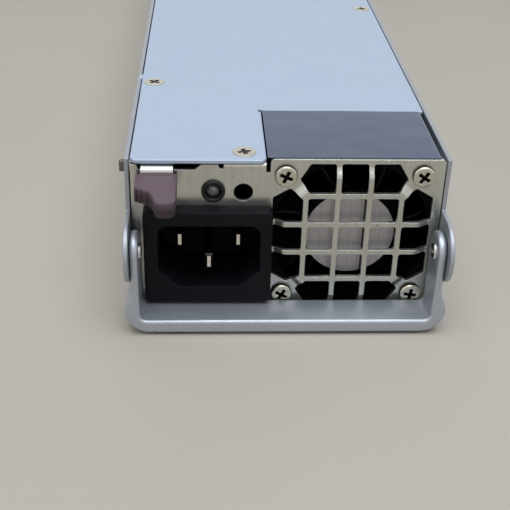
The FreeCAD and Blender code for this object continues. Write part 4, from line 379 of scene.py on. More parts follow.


# ---- finishes ----

# colour on screen or the name of one that the user sets, then what differs from a plain satin plastic;
# bump and edge are in millimetres, and lines have a direction, a spacing in millimetres, a width and a level
# the wear amount and its colour lighten the edges: worn edges, partly a painted edge highlight
FINISHES = {
    "cover_steel": dict(colour="cover_colour", metallic=0.3, roughness=0.46, shade=0.02, scale=900.0,
        stretch=(1, 0.12, 1), bump=0.015, marks=0.04, specks=0.02, speck_scale=1700.0,
        speck_colour=(120, 128, 140), wear=0.3),
    "tray_steel": dict(colour=(168, 172, 180), metallic=0.6, roughness=0.42, shade=0.05, scale=900.0,
        stretch=(1, 0.08, 1), bump=0.02, marks=0.08, wear=0.5),
    "rear_steel": dict(colour=(172, 180, 192), metallic=0.8, roughness=0.42, scale=420.0,
        stretch=(0.08, 1, 1), bump=0.02, marks=0.08, wear=0.4),
    "face_steel": dict(colour="face_colour", metallic=0.85, roughness=0.27, shade=0.1, scale=900.0,
        stretch=(1, 1, 0.07), bump=0.03, marks=0.08, specks=0.03, wear=0.5),
    "screw_nickel": dict(colour=(196, 192, 178), metallic=0.95, roughness=0.2, shade=0.1, bump=0.05,
        marks=0.12, wear=0.5, edge=0.12),
    "handle_silver": dict(colour="handle_colour", metallic=0.5, roughness=0.32, shade=0.04, scale=3400.0,
        bump=0.05, specks=0.1, speck_scale=2300.0, speck_colour=(112, 118, 130), wear=0.3),
    "rivet_steel": dict(colour=(198, 198, 194), metallic=0.95, roughness=0.2, shade=0.08, bump=0.03,
        marks=0.1, edge=0.12),
    "latch_steel": dict(colour=(206, 206, 200), metallic=0.95, roughness=0.26, shade=0.08, scale=900.0,
        stretch=(0.07, 1, 1), bump=0.03, marks=0.1, wear=0.4),
    "spring_wire": dict(colour=(150, 150, 150), metallic=0.95, roughness=0.3, shade=0.1, scale=2000.0),
    # the inlet's lighter edges are partly a painted highlight
    "inlet_black": dict(colour="inlet_colour", roughness=0.5, shade=0.2, scale=3800.0, bump=0.12,
        marks=0.1, specks=0.12, speck_scale=2600.0, speck_colour=(44, 42, 46), wear=0.5,
        worn_and_highlight=(74, 74, 82), gloss=0.12),
    "bezel_black": dict(colour=(18, 18, 20), roughness=0.3, shade=0.1, scale=3000.0, bump=0.03, wear=0.2,
        worn_and_highlight=(60, 60, 64), edge=0.12, gloss=0.3),
    "fan_black": dict(colour=(9, 7, 10), roughness=0.5, shade=0.12, scale=2600.0, bump=0.06, marks=0.1,
        gloss=0.03),
    "impeller_black": dict(colour=(17, 11, 13), shade=0.12, scale=2600.0, marks=0.12, gloss=0.14),
    "tab_plum": dict(colour="tab_colour", roughness=0.52, shade=0.07, scale=3400.0, bump=0.1, marks=0.1,
        specks=0.05, speck_scale=2200.0, speck_colour=(134, 118, 130), wear=0.35, worn_and_highlight=(138, 122, 134),
        gloss=0.3),
    "blade_nickel": dict(colour=(226, 221, 208), metallic=0.7, roughness=0.28, shade=0.08, bump=0.02,
        edge=0.12),
    "stator_steel": dict(colour=(130, 134, 138), metallic=0.8, roughness=0.45,
        lines=((0, 1, 0), 0.5, 0.16, 60)),
    "bearing_steel": dict(colour=(190, 190, 188), metallic=0.95, roughness=0.2),
    "magnet_black": dict(colour=(44, 44, 46), metallic=0.3, roughness=0.5, shade=0.14, scale=1800.0,
        bump=0.08),
    "copper_wire": dict(colour=(184, 106, 58), metallic=0.85, roughness=0.28, shade=0.12,
        lines=((0.7, 0.7, 0.2), 0.42, 0.2, 70)),
    "lead_insulation": dict(colour=(38, 38, 42), roughness=0.45, shade=0.14, scale=2000.0, bump=0.05),
    "plug_nylon": dict(colour=(222, 218, 204), roughness=0.45, shade=0.05, scale=2200.0, bump=0.05),
    "board_green": dict(colour=(28, 92, 58), roughness=0.3, shade=0.14, scale=700.0, bump=0.03,
        lines=((0.6, 0.8, 0), 2.6, 0.2, 70), edge=0.1),
    "board_blue": dict(colour=(30, 66, 120), roughness=0.3, shade=0.12, scale=700.0, bump=0.03,
        lines=((0, 0.8, 0.6), 2.2, 0.2, 80), edge=0.1),
    "liner_grey": dict(colour=(196, 196, 190), roughness=0.55, shade=0.05, scale=1600.0, bump=0.05),
    "fuse_ceramic": dict(colour=(226, 220, 206), roughness=0.35, shade=0.05, scale=1800.0),
    "ferrite": dict(colour=(58, 60, 62), metallic=0.2, roughness=0.5, shade=0.2, scale=1800.0, bump=0.12,
        specks=0.12, speck_colour=(96, 98, 100)),
    "film_box": dict(colour=(206, 170, 62), roughness=0.34, shade=0.05, scale=1600.0),
    "disc_blue": dict(colour=(44, 92, 158), roughness=0.3, shade=0.08, scale=1200.0, bump=0.08),
    "relay_case": dict(colour=(40, 42, 46), roughness=0.35, shade=0.1, scale=2400.0, bump=0.06),
    "can_sleeve": dict(colour=(34, 38, 54), roughness=0.26, shade=0.1, scale=900.0, marks=0.1,
        lines=((0.9, 0, 0.44), 12.0, 0.18, 210)),
    "package_black": dict(colour=(34, 34, 36), roughness=0.48, shade=0.14, scale=2600.0, bump=0.1),
    "sink_aluminium": dict(colour=(178, 182, 186), metallic=0.9, roughness=0.34, scale=700.0,
        stretch=(1, 0.05, 1), lines=((0, 0, 1), 0.9, 0.12, 120)),
    "bobbin_plastic": dict(colour=(52, 50, 50), shade=0.1, scale=2400.0, bump=0.05),
    "tape_yellow": dict(colour=(226, 188, 62), roughness=0.26, scale=900.0, bump=0.03,
        lines=((0, 0, 1), 6.0, 0.05, 150)),
    "connector_black": dict(colour=(30, 30, 33), shade=0.14, scale=3000.0, bump=0.08, wear=0.2,
        worn_and_highlight=(80, 80, 84)),
    "contact_gold": dict(colour=(222, 178, 92), metallic=0.95, roughness=0.22),
}

# finishes darkened along an axis, mostly painted shade: name, slot, axis, where that starts and ends, dark
# colour on screen;
# a solid that isn't given one by name has the last one built for its slot
DARKENED_BY_AXIS = (
    # painted shade and dark reflection: the blades turn dark just behind their tips
    ("live_blades", "blade_nickel", "Y", LIVE_TIP + 0.005 * MM, LIVE_TIP + 0.03 * MM, (26, 24, 24)),
    ("earth_blade", "blade_nickel", "Y", EARTH_TIP + 0.005 * MM, EARTH_TIP + 0.03 * MM, (26, 24, 24)),
    # painted shade in the fan screws' cross recesses and round the sides of their heads
    ("fan_screws", "screw_nickel", "Y", -0.95 * MM, -0.6 * MM, (38, 34, 28)),
    # painted shade in the cover screws' cross recesses, below the cover's top
    ("cover_screws", "screw_nickel", "Z", COVER_TOP + 0.03 * MM, COVER_TOP - 0.04 * MM, (13, 11, 10)),
    # the latch hook turns darker from x = -37.2 mm to -37.9 mm and beyond
    ("latch_hook", "latch_steel", "X", -37.2 * MM, -37.9 * MM, (112, 106, 100)),
    # painted shade on the tab's sides below its top edge
    ("tab_side_shade", "tab_plum", "Z", TAB_TOP - 0.35 * MM, TAB_TOP - 2.2 * MM, (62, 50, 58)),
)


def base_finish(slot):
    """Material with its tree, its shader and the object's own coordinates."""
    material = bpy.data.materials.new(slot + "_finish")
    material.use_nodes = True
    tree = material.node_tree
    shader = tree.nodes["Principled BSDF"]
    place = put(tree, "ShaderNodeTexCoord").outputs["Object"]
    return material, tree, shader, place


def mixed(tree, factor, first, second):
    """Colour mixed by a mask."""
    first, second = (c if isinstance(c, bpy.types.NodeSocket) else (*c, 1) for c in (first, second))
    return put(tree, "ShaderNodeMix", {0: factor, 6: first, 7: second}, data_type="RGBA").outputs[2]


def clouded(tree, mask, tone, shade):
    """Tone that a mask makes darker and lighter by a share."""
    return mixed(tree, mask, [c * (1 - shade) for c in tone], [min(1.0, c * (1 + shade)) for c in tone])


def tone_of(colour):
    """Shader value of a screen colour, or of a colour that the user sets, given by its name."""
    if isinstance(colour, str):
        return list(getattr(bpy.context.scene.supply_finish, colour))
    return linear(*colour)


def build_finish(slot, colour, metallic=0.0, roughness=0.4, shade=0.06, scale=1500.0, stretch=(1, 1, 1),
                 bump=0.04, marks=0.06, specks=0.0, speck_scale=700.0, speck_colour=(70, 70, 72),
                 wear=0.0, worn_and_highlight=(232, 234, 238), edge=0.22, lines=None, gloss=0.5, depth=None):
    """Grain, handling marks, specks, lines, and worn edges that are partly a painted edge highlight, over one
    colour; a depth darkens it along an axis, mostly as painted shade.
    """
    material, tree, shader, place = base_finish(slot)
    grain = effect(tree, "grain", {"Vector": place, "Scale": scale, "Stretch": stretch})
    marked = effect(tree, "marks", {"Vector": place})
    rubbed_and_lit_edges = effect(tree, "wear", {"Vector": place, "Radius": edge * MM, "Amount": wear})
    base = clouded(tree, grain.outputs["Shade"], tone_of(colour), shade)
    if lines:
        direction, spacing, width, level = lines
        ruled = effect(tree, "rules", {"Vector": place, "Direction": direction, "Spacing": spacing * MM,
                                       "Width": width})
        base = mixed(tree, ruled, base, linear(level, level, level))
    if specks:
        dots = effect(tree, "specks", {"Vector": place, "Scale": speck_scale, "Share": specks})
        base = mixed(tree, dots, base, linear(*speck_colour))
    # worn edges, partly a painted edge highlight
    if wear:
        base = mixed(tree, rubbed_and_lit_edges.outputs["Mask"], base, linear(*worn_and_highlight))
    # painted shade, mostly: the colour darkens along an axis into recesses and below top edges
    if depth:
        axis, start, end, dark_tone = depth
        where = put(tree, "ShaderNodeSeparateXYZ", {0: place})
        base = mixed(tree, ranged(tree, where.outputs[axis], start, end), base, linear(*dark_tone))
    rough = ranged(tree, marked, 0.0, 1.0, max(0.04, roughness - marks), roughness + marks)
    raised = put(tree, "ShaderNodeBump", {"Strength": 1.0, "Distance": bump * MM,
                                          "Height": grain.outputs["Height"],
                                          "Normal": rubbed_and_lit_edges.outputs["Normal"]})
    feed(tree, shader, {"Base Color": base, "Roughness": rough, "Normal": raised, "Metallic": metallic,
                        "Specular IOR Level": gloss})
    MADE[slot] = material
    return material


def build_film_finish():
    """Glossy slate film that lies in slow waves."""
    material, tree, shader, place = base_finish("shield_film")
    waves = put(tree, "ShaderNodeTexNoise", {"Vector": place, "Scale": 95.0, "Detail": 1.0})
    marked = effect(tree, "marks", {"Vector": place, "Scale": 60.0})
    dots = effect(tree, "specks", {"Vector": place, "Scale": 900.0, "Share": 0.03})
    base = clouded(tree, marked, tone_of("film_colour"), 0.1)
    base = mixed(tree, maths(tree, "MULTIPLY", dots, 0.25), base, linear(160, 168, 180))
    raised = put(tree, "ShaderNodeBump", {"Strength": 0.5, "Distance": 0.6 * MM, "Height": waves})
    feed(tree, shader, {"Base Color": base, "Roughness": ranged(tree, marked, 0.0, 1.0, 0.16, 0.3),
                        "Normal": raised, "Coat Weight": 0.12})
    MADE["shield_film"] = material


def build_label_finish():
    """Silver label with plain printed rules, and no words."""
    material, tree, shader, place = base_finish("label_silver")
    spot = put(tree, "ShaderNodeMapping", {"Vector": place, "Location": (-FAN_AXIS[0], 0, -FAN_AXIS[1])})
    ink = linear(44, 42, 44)
    paper = linear(182, 178, 180)
    grain = effect(tree, "grain", {"Vector": place, "Scale": 700.0})
    base = mixed(tree, grain.outputs["Shade"], [c * 0.93 for c in paper], [c * 1.05 for c in paper])
    rows = effect(tree, "rules", {"Vector": spot, "Direction": (1, 0, 0), "Spacing": 2.4 * MM, "Width": 0.09})
    base = mixed(tree, maths(tree, "MULTIPLY", rows, 0.22), base, ink)
    beside = put(tree, "ShaderNodeMapping", {"Vector": spot, "Location": (-3.4 * MM, 0, 0)})
    rule = effect(tree, "rules", {"Vector": beside, "Direction": (1, 0, 0), "Spacing": 40 * MM,
                                  "Width": 0.018})
    feed(tree, shader, {"Base Color": mixed(tree, rule, base, ink), "Roughness": 0.38, "Metallic": 0.25})
    MADE["label_silver"] = material


def build_lens_finish():
    """Clear lamp body with a faint tint."""
    material, tree, shader, place = base_finish("lamp_clear")
    haze = effect(tree, "marks", {"Vector": place, "Scale": 500.0})
    base = mixed(tree, haze, linear(196, 200, 206), linear(222, 226, 230))
    feed(tree, shader, {"Base Color": base, "Roughness": 0.06, "Transmission Weight": 0.9, "IOR": 1.5})
    MADE["lamp_clear"] = material


# ---- geometry trees ----

def run_tree(piece, tree, inputs):
    """Runs a geometry tree on a piece, its inputs given by name, and applies it."""
    modifier = piece.modifiers.new(tree.name, "NODES")
    modifier.node_group = tree
    for item in tree.interface.items_tree:
        if item.item_type == "SOCKET" and item.in_out == "INPUT" and item.name in inputs:
            modifier[item.identifier] = inputs[item.name]
    piece.update_tag()
    return applied(piece)


def finished_geometry(tree, given, out, geometry):
    """Ends a tree with real geometry in the given finish."""
    solid = put(tree, "GeometryNodeRealizeInstances", {0: geometry})
    coloured = put(tree, "GeometryNodeSetMaterial", {"Geometry": solid, "Material": given["Finish"]})
    feed(tree, out, {0: coloured})


def scatter_tree():
    """Sets one shape on every point, turned by the point's own angles."""
    tree, given, out = new_group("set of like pieces", "GeometryNodeTree", [
        ("Points", "Geometry", None), ("Shape", "Object", None), ("Finish", "Material", None),
    ], [("Geometry", "Geometry")])
    shape = put(tree, "GeometryNodeObjectInfo", {"Object": given["Shape"]})
    turn = put(tree, "GeometryNodeInputNamedAttribute", {"Name": "turn"}, data_type="FLOAT_VECTOR")
    spin = put(tree, "FunctionNodeEulerToRotation", {0: turn})
    dots = put(tree, "GeometryNodeMeshToPoints", {"Mesh": given["Points"]})
    placed = put(tree, "GeometryNodeInstanceOnPoints",
                 {"Points": dots, "Instance": shape.outputs["Geometry"], "Rotation": spin})
    finished_geometry(tree, given, out, placed)
    return tree


def set_of(name, shape_mesh, places, slot):
    """Copies of one shape at places given as (point, turn), as one piece."""
    if "scatter" not in BUILT:
        BUILT["scatter"] = scatter_tree()
    mesh = bpy.data.meshes.new(name)
    mesh.from_pydata([p for p, _ in places], [], [])
    turn = mesh.attributes.new("turn", "FLOAT_VECTOR", "POINT")
    for i, (_, angles) in enumerate(places):
        turn.data[i].vector = angles
    shape = shown("shape", shape_mesh)
    piece = run_tree(shown(name, mesh), BUILT["scatter"], {"Shape": shape, "Finish": MADE[slot]})
    bpy.data.objects.remove(shape)
    smoothed(piece, 40.0)
    return piece


def pressing_tree():
    """Fills outlines with rounded corners, presses a round boss and gives it a thickness."""
    tree, given, out = new_group("pressed sheet", "GeometryNodeTree", [
        ("Outlines", "Geometry", None), ("Thickness", "Float", 0.001), ("Boss Height", "Float", 0.001),
        ("Boss Top", "Float", 0.016), ("Boss Foot", "Float", 0.019), ("Boss Centre", "Vector", None),
        ("Finish", "Material", None)], [("Geometry", "Geometry")])
    loops = put(tree, "GeometryNodeMeshToCurve", {"Mesh": given["Outlines"]})
    radius = put(tree, "GeometryNodeInputNamedAttribute", {"Name": "corner"}, data_type="FLOAT")
    rounded = put(tree, "GeometryNodeFilletCurve",
                  {"Curve": loops, "Count": 4, "Radius": radius, "Limit Radius": True}, mode="POLY")
    flat = put(tree, "GeometryNodeFillCurve", {"Curve": rounded}, mode="TRIANGLES")
    fine = put(tree, "GeometryNodeSubdivideMesh", {"Mesh": flat, "Level": 3})
    upright = put(tree, "GeometryNodeTransform", {"Geometry": fine, "Rotation": (math.pi / 2, 0, 0)})
    reach = put(tree, "ShaderNodeVectorMath", {
        0: put(tree, "GeometryNodeInputPosition"), 1: given["Boss Centre"]}, operation="DISTANCE")
    rise = ranged(tree, reach.outputs["Value"], given["Boss Top"], given["Boss Foot"],
                  maths(tree, "SUBTRACT", 0.0, given["Boss Height"]), 0.0, interpolation_type="SMOOTHSTEP")
    shift = put(tree, "ShaderNodeCombineXYZ", {"Y": rise})
    front = put(tree, "GeometryNodeSetPosition", {"Geometry": upright, "Offset": shift})
    depth = put(tree, "ShaderNodeCombineXYZ", {"Y": 1.0})
    walls = put(tree, "GeometryNodeExtrudeMesh", {"Mesh": front, "Offset": depth,
                                                  "Offset Scale": given["Thickness"], "Individual": False})
    both = put(tree, "GeometryNodeJoinGeometry", {0: front})
    feed(tree, both, {0: put(tree, "GeometryNodeFlipFaces", {0: walls})})
    finished_geometry(tree, given, out, put(tree, "GeometryNodeMergeByDistance",
                                            {"Geometry": both, "Distance": 2e-6}))
    return tree


# ---- settings ----

def number(kind, name, text, default, **more):
    """Setting for a number, of a kind such as a length or a power."""
    return bpy.props.FloatProperty(name=name, description=text, default=default, unit=kind, **more)


def length(name, text, millimetres):
    """Setting for a length, with its default in millimetres."""
    return number("LENGTH", name, text, millimetres * MM, precision=5)


def tint(name, text, screen):
    """Setting for a colour, with its default as on screen."""
    return bpy.props.FloatVectorProperty(name=name, description=text, default=linear(*screen), size=3,
                                         min=0.0, max=1.0, subtype="COLOR")


class SupplyFinish(bpy.types.PropertyGroup):
    """Colours of the main finishes."""
    cover_colour: tint("Cover", "Colour of the plated top cover", (188, 204, 226))
    face_colour: tint("Face", "Colour of the pressed face", (190, 190, 182))
    handle_colour: tint("Handle", "Colour of the drop handle", (182, 188, 198))
    tab_colour: tint("Thumb tab", "Colour of the moulded thumb tab", (108, 90, 102))
    inlet_colour: tint("Inlet", "Colour of the mains inlet", (17, 16, 22))
    film_colour: tint("Film", "Colour of the film over the fan", (58, 74, 106))


class SupplyFace(bpy.types.PropertyGroup):
    """Sizes of the pressed face and its fan grille."""
    sheet: length("Sheet", "Thickness of the face", 1.0)
    pitch: length("Bar spacing", "Distance between the grille bars", 7.5)
    bar: length("Bar width", "Width of a grille bar", 1.2)
    reach: length("Reach", "Fan axis to the outer edge of the windows", 18.9)
    boss_height: length("Pressing height", "How far the grille stands out of the face", 1.4)
    boss_top: length("Pressing top", "Radius of the flat of the pressing", 16.2)
    boss_foot: length("Pressing foot", "Radius where the pressing meets the face", 18.7)
    corner: length("Window corner", "Corner radius of the windows", 0.6)


class SupplyHandle(bpy.types.PropertyGroup):
    """Sizes of the drop handle."""
    arm: length("Arm thickness", "Thickness of the arms at the pivots", 1.85)
    bar: length("Bar thickness", "Thickness of the cross bar", 3.4)
    depth: length("Depth", "Width of the handle's strip", 9.6)
    edge: length("Edge rounding", "Radius of the handle's long edges", 0.8)


class SupplyTab(bpy.types.PropertyGroup):
    """Sizes of the moulded thumb tab."""
    shoulder: length("Shoulder", "Reach of the tab's left side from its back", 6.8)
    edge: length("Edge rounding", "Radius of the tab's top and bottom edges", 0.4)
    groove: length("Groove depth", "Depth of the grooves between the ribs", 0.5)
    ribs: bpy.props.IntProperty(name="Ribs", description="Number of ribs in the hollow", default=6,
                                min=1, max=20)


class SupplyStage(bpy.types.PropertyGroup):
    """Light and floor."""
    floor_colour: tint("Floor", "Colour of the floor", (206, 199, 188))
    top_light: number("POWER", "Top light", "Power of the large lamp overhead", 5.3)
    side_light: number("POWER", "Side light", "Power of the fill from the left", 0.5)
    room_light: number("NONE", "Room light", "Level of the room's light", 0.2, min=0.0, max=2.0)


# ---- operators ----

class SUPPLY_OT_finishes(bpy.types.Operator):
    """Builds every finish and gives each solid its own"""
    bl_idname = "supply.finishes"
    bl_label = "Finishes"

    def execute(self, context):
        for slot, facts in FINISHES.items():
            build_finish(slot, **facts)
        build_film_finish()
        build_label_finish()
        build_lens_finish()
        # finishes darkened along an axis, mostly painted shade in recesses and below top edges
        darkened_finishes = {}
        for name, slot, axis, start, end, colour in DARKENED_BY_AXIS:
            darkened_finishes[name] = build_finish(slot, **FINISHES[slot], depth=(axis, start, end, colour))
        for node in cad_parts.values():
            for place in node.material_slots:
                slot = place.material.name.split(".")[0]
                if slot not in MADE:
                    raise ValueError(f"no finish for {slot}")
                place.material = MADE[slot]
        # the blades get the finishes with painted shade behind their tips
        for name in ("live_blades", "earth_blade"):
            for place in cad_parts[name].material_slots:
                place.material = darkened_finishes[name]
        # the screws' finishes carry painted shade in their cross recesses
        MADE["cover_screws"] = darkened_finishes["cover_screws"]
        MADE["screw_nickel"] = darkened_finishes["fan_screws"]
        return {"FINISHED"}


class SUPPLY_OT_case_sheets(bpy.types.Operator):
    """Tray, rear panel and top cover with eased sheet edges"""
    bl_idname = "supply.case_sheets"
    bl_label = "Case sheets"

    def execute(self, context):
        for node, slot, width in (("chassis_tray", "tray_steel", 0.16), ("top_cover", "cover_steel", 0.2),
                                  ("rear_panel", "rear_steel", 0.12)):
            carried(eased_copy(node, width * MM), "case", slot, node)
        return {"FINISHED"}


def turned(point, quarters):
    """Point (x, z) turned by quarters round the fan axis."""
    x, z = point
    for _ in range(quarters):
        x, z = -z, x
    return x, z


def window_outlines(face):
    """Windows round the fan axis: a 5 by 5 grid without its corners."""
    half = (face.pitch - face.bar) / 2
    near = 2 * face.pitch - half
    inner = face.pitch - half
    reach = face.reach
    windows = []
    for column in (-1, 0, 1):
        for row in (-1, 0, 1):
            x = column * face.pitch
            z = row * face.pitch
            windows.append([(x - half, z - half), (x + half, z - half), (x + half, z + half),
                            (x - half, z + half)])
    middle = [(-half, near), (half, near), (half, reach), (-half, reach)]
    beside = [(-inner, near), (-inner, reach), (-inner - BESIDE_TOP, reach),
              (-inner - BESIDE_TOP - BESIDE_POINT, reach - BESIDE_DROP), (-inner - BESIDE_FOOT, near)]
    for quarter in range(4):
        for window in (middle, beside, [(-x, z) for x, z in beside]):
            windows.append([turned(p, quarter) for p in window])
    return windows


def face_loops(face):
    """Edge of the face, its windows and its holes as (x, z, corner radius)."""
    low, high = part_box("face_panel")
    fan_x, fan_z = FAN_AXIS
    edge = [(low.x, low.z, 0), (high.x, low.z, 0), (high.x, high.z, 1.0), (SLOT_RIGHT, high.z, 1.0),
            (SLOT_RIGHT, SLOT_FLOOR, 0.3), (SLOT_LEFT, SLOT_FLOOR, 0.3), (SLOT_LEFT, FOLD_Z, 0),
            (FOLD_LEFT, FOLD_Z, 0), (EAR_RIGHT, FOLD_Z, 0.5), (EAR_RIGHT, EAR_Z, 0.6),
            (EAR_LEFT, EAR_Z, 0.6), (EAR_FOOT, SHELF_Z, 0.6), (SHELF_LEFT, SHELF_Z, 0.4),
            (CORNER_RIGHT, EAR_Z, 0.4), (low.x, EAR_Z, 0.1)]
    loops = [[(x, z, r * MM) for x, z, r in edge]]
    for window in window_outlines(face):
        loops.append([(fan_x + x, fan_z + z, face.corner) for x, z in window])
    x, z = INLET_MIDDLE
    w, h = INLET_HALF
    loops.append([(x + a * w, z + b * h, INLET_CORNER) for a, b in ((-1, -1), (1, -1), (1, 1), (-1, 1))])
    holes = [circle(*LAMP_HOLE), circle(*SPARE_HOLE)]
    holes += [circle(fan_x + a * FAN_SCREW_OUT, fan_z + b * FAN_SCREW_OUT, FAN_SCREW_HOLE, 24)
              for a, b in FAN_SCREW_TURNS]
    return loops + [[(x, z, 0.0) for x, z in hole] for hole in holes]


class SUPPLY_OT_face_panel(bpy.types.Operator):
    """Pressed face with its fan grille and folded flanges"""
    bl_idname = "supply.face_panel"
    bl_label = "Face panel"

    def execute(self, context):
        face = context.scene.supply_face
        points = []
        edges = []
        corners = []
        for loop in face_loops(face):
            first = len(points)
            count = len(loop)
            points += [(x, z, 0) for x, z, _ in loop]
            corners += [r for _, _, r in loop]
            edges += [(first + i, first + (i + 1) % count) for i in range(count)]
        mesh = bpy.data.meshes.new("face_sheet")
        mesh.from_pydata(points, edges, [])
        corner = mesh.attributes.new("corner", "FLOAT", "POINT")
        corner.data.foreach_set("value", corners)
        fan_x, fan_z = FAN_AXIS
        sheet = run_tree(shown("face_sheet", mesh), pressing_tree(), {
            "Thickness": face.sheet, "Boss Height": face.boss_height, "Boss Top": face.boss_top,
            "Boss Foot": face.boss_foot, "Boss Centre": (fan_x, 0.0, fan_z), "Finish": MADE["face_steel"]})
        smoothed(sheet, 36.0)
        carried(sheet, "case", "face_steel", "face_panel")
        low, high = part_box("face_panel")

        def flanges(bm):
            end = high.y
            t = face.sheet
            top = high.z - t
            add_box(bm, (low.x, FLANGE_START, low.z), (low.x + t, end, LEFT_FLANGE_TOP))
            add_box(bm, (high.x - t, FLANGE_START, low.z), (high.x, end, high.z - 2 * MM))
            add_box(bm, (low.x, FLANGE_START, low.z), (fan_x - FAN_HALF - 1 * MM, end, low.z + t))
            foot = FOLD_Z - 0.05 * MM
            bent = [(t * (1 - math.sin(a)), top - t * (1 - math.cos(a)))
                    for a in (math.radians(90 - 10 * k) for k in range(10))]
            fold = [(0, foot)] + bent + [(end, top), (end, top - t), (t, top - t), (t, foot)]
            skin(bm, [[(x, y, z) for y, z in fold] for x in (FOLD_LEFT, SLOT_LEFT)])

        folds = shown("face_flanges", mesh_of("face_flanges", flanges))
        smoothed(folds, 32.0)
        carried(folds, "case", "face_steel")
        return {"FINISHED"}


def head_mesh(name, radius, height, dome, edge, cross=0.0, depth=0.0, share=0.27, rings=28, spokes=72):
    """Round head on +Z; a cross recess has its reach, its depth and its arms' share of the reach."""
    arm = cross * share
    soft = 0.14 * MM

    def surface_height(x, y, r):
        z = height * (1 - dome * (r / radius) ** 2)
        over = r - (radius - edge)
        if over > 0:
            z -= edge - math.sqrt(max(0.0, edge * edge - over * over))
        if not cross:
            return z
        inside = min(max(abs(x) - cross, abs(y) - arm), max(abs(x) - arm, abs(y) - cross))
        sunk = min(1.0, max(0.0, -inside / soft))
        return z - depth * (3 * sunk ** 2 - 2 * sunk ** 3) * (1 + 0.3 * max(0.0, 1 - r / cross))

    def ring(r):
        return [(x, y, surface_height(x, y, r)) for x, y in circle(0, 0, r, spokes)]

    foot = [(x, y, -0.1 * MM) for x, y in circle(0, 0, radius, spokes)]
    rows = [ring(radius * i / rings) for i in range(rings, 0, -1)]
    return mesh_of(name, lambda bm: skin(bm, [foot] + rows + [ring(radius * 0.2 / rings)]))


class SUPPLY_OT_screws(bpy.types.Operator):
    """Fan screws and sunk cover screws with cross recesses"""
    bl_idname = "supply.screws"
    bl_label = "Screws"

    def execute(self, context):
        fan_x, fan_z = FAN_AXIS
        pan = head_mesh("fan screw", radius=2.65 * MM, height=1.28 * MM, dome=0.16, edge=0.5 * MM,
                        cross=1.55 * MM, depth=1.7 * MM)
        places = [((fan_x + a * FAN_SCREW_OUT, 0.0, fan_z + b * FAN_SCREW_OUT), (math.pi / 2, turn, 0.0))
                  for (a, b), turn in FAN_SCREW_TURNS.items()]
        carried(set_of("fan_screw_heads", pan, places, "screw_nickel"), "case", "screw_nickel", "fan_screws")
        sunk = head_mesh("cover screw", radius=2.72 * MM, height=0.12 * MM, dome=0.2, edge=0.1 * MM,
                         cross=1.55 * MM, depth=1.4 * MM, share=0.36, rings=40, spokes=96)
        places = [((x * MM, y * MM, COVER_TOP), (0.0, 0.0, turn)) for x, y, turn in COVER_SCREWS]
        carried(set_of("cover_screw_heads", sunk, places, "cover_screws"), "case", "screw_nickel",
                "cover_screws")
        return {"FINISHED"}


class SUPPLY_OT_film(bpy.types.Operator):
    """Thin film over the fan, folded down beside it"""
    bl_idname = "supply.film"
    bl_label = "Fan film"

    def execute(self, context):
        low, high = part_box("fan_shield_film")
        thick = 0.1 * MM
        bend = 0.7 * MM
        top = high.z - thick * 0.5 - 0.04 * MM      # room for the waves
        side = high.x - thick * 0.5
        start = low.x - 0.3 * MM                    # tucked under the cover's edge
        flat = side - bend - start
        drop = top - bend - low.z
        path = [(start + flat * k / 40, top) for k in range(41)]
        path += [(side - bend + bend * math.sin(a), top - bend + bend * math.cos(a))
                 for a in (math.radians(15 * k) for k in range(1, 7))]
        path += [(side, top - bend - drop * k / 6) for k in range(1, 7)]
        rows = 30

        def build(bm):
            grid = []
            for row in range(rows + 1):
                y = low.y + (high.y - low.y) * row / rows
                line = []
                for x, z in path:
                    wave = FILM_WAVE * math.sin(x / FILM_WAVE_X + 0.7) * math.sin(y / FILM_WAVE_Y)
                    line.append(bm.verts.new((x, y, z + wave)))
                grid.append(line)
            for a, b in zip(grid, grid[1:]):
                for i in range(len(path) - 1):
                    bm.faces.new((a[i], a[i + 1], b[i + 1], b[i]))

        film = shown("film_sheet", mesh_of("film_sheet", build))
        wall = film.modifiers.new("film thickness", "SOLIDIFY")
        wall.thickness = thick
        wall.offset = 0.0
        applied(film)
        smoothed(film, 50.0)
        carried(film, "case", "shield_film", "fan_shield_film")
        return {"FINISHED"}


class SUPPLY_OT_inlet(bpy.types.Operator):
    """Mains inlet housing with softened edges"""
    bl_idname = "supply.inlet"
    bl_label = "Mains inlet"

    def execute(self, context):
        carried(eased_copy("inlet_housing", 0.22 * MM, 40.0), "case", "inlet_black", "inlet_housing")
        return {"FINISHED"}


def rounded_ring(thick, width, corner, steps=6):
    """Points (across, along) of a rounded rectangle round the middle."""
    half_t = thick / 2
    half_w = width / 2
    r = min(corner, half_t * 0.98, half_w * 0.98)
    points = []
    for sx, sy, start in ((1, 1, 0), (-1, 1, 90), (-1, -1, 180), (1, -1, 270)):
        for k in range(steps + 1):
            a = math.radians(start + 90 * k / steps)
            points.append((sx * (half_t - r) + r * math.cos(a), sy * (half_w - r) + r * math.sin(a)))
    return points


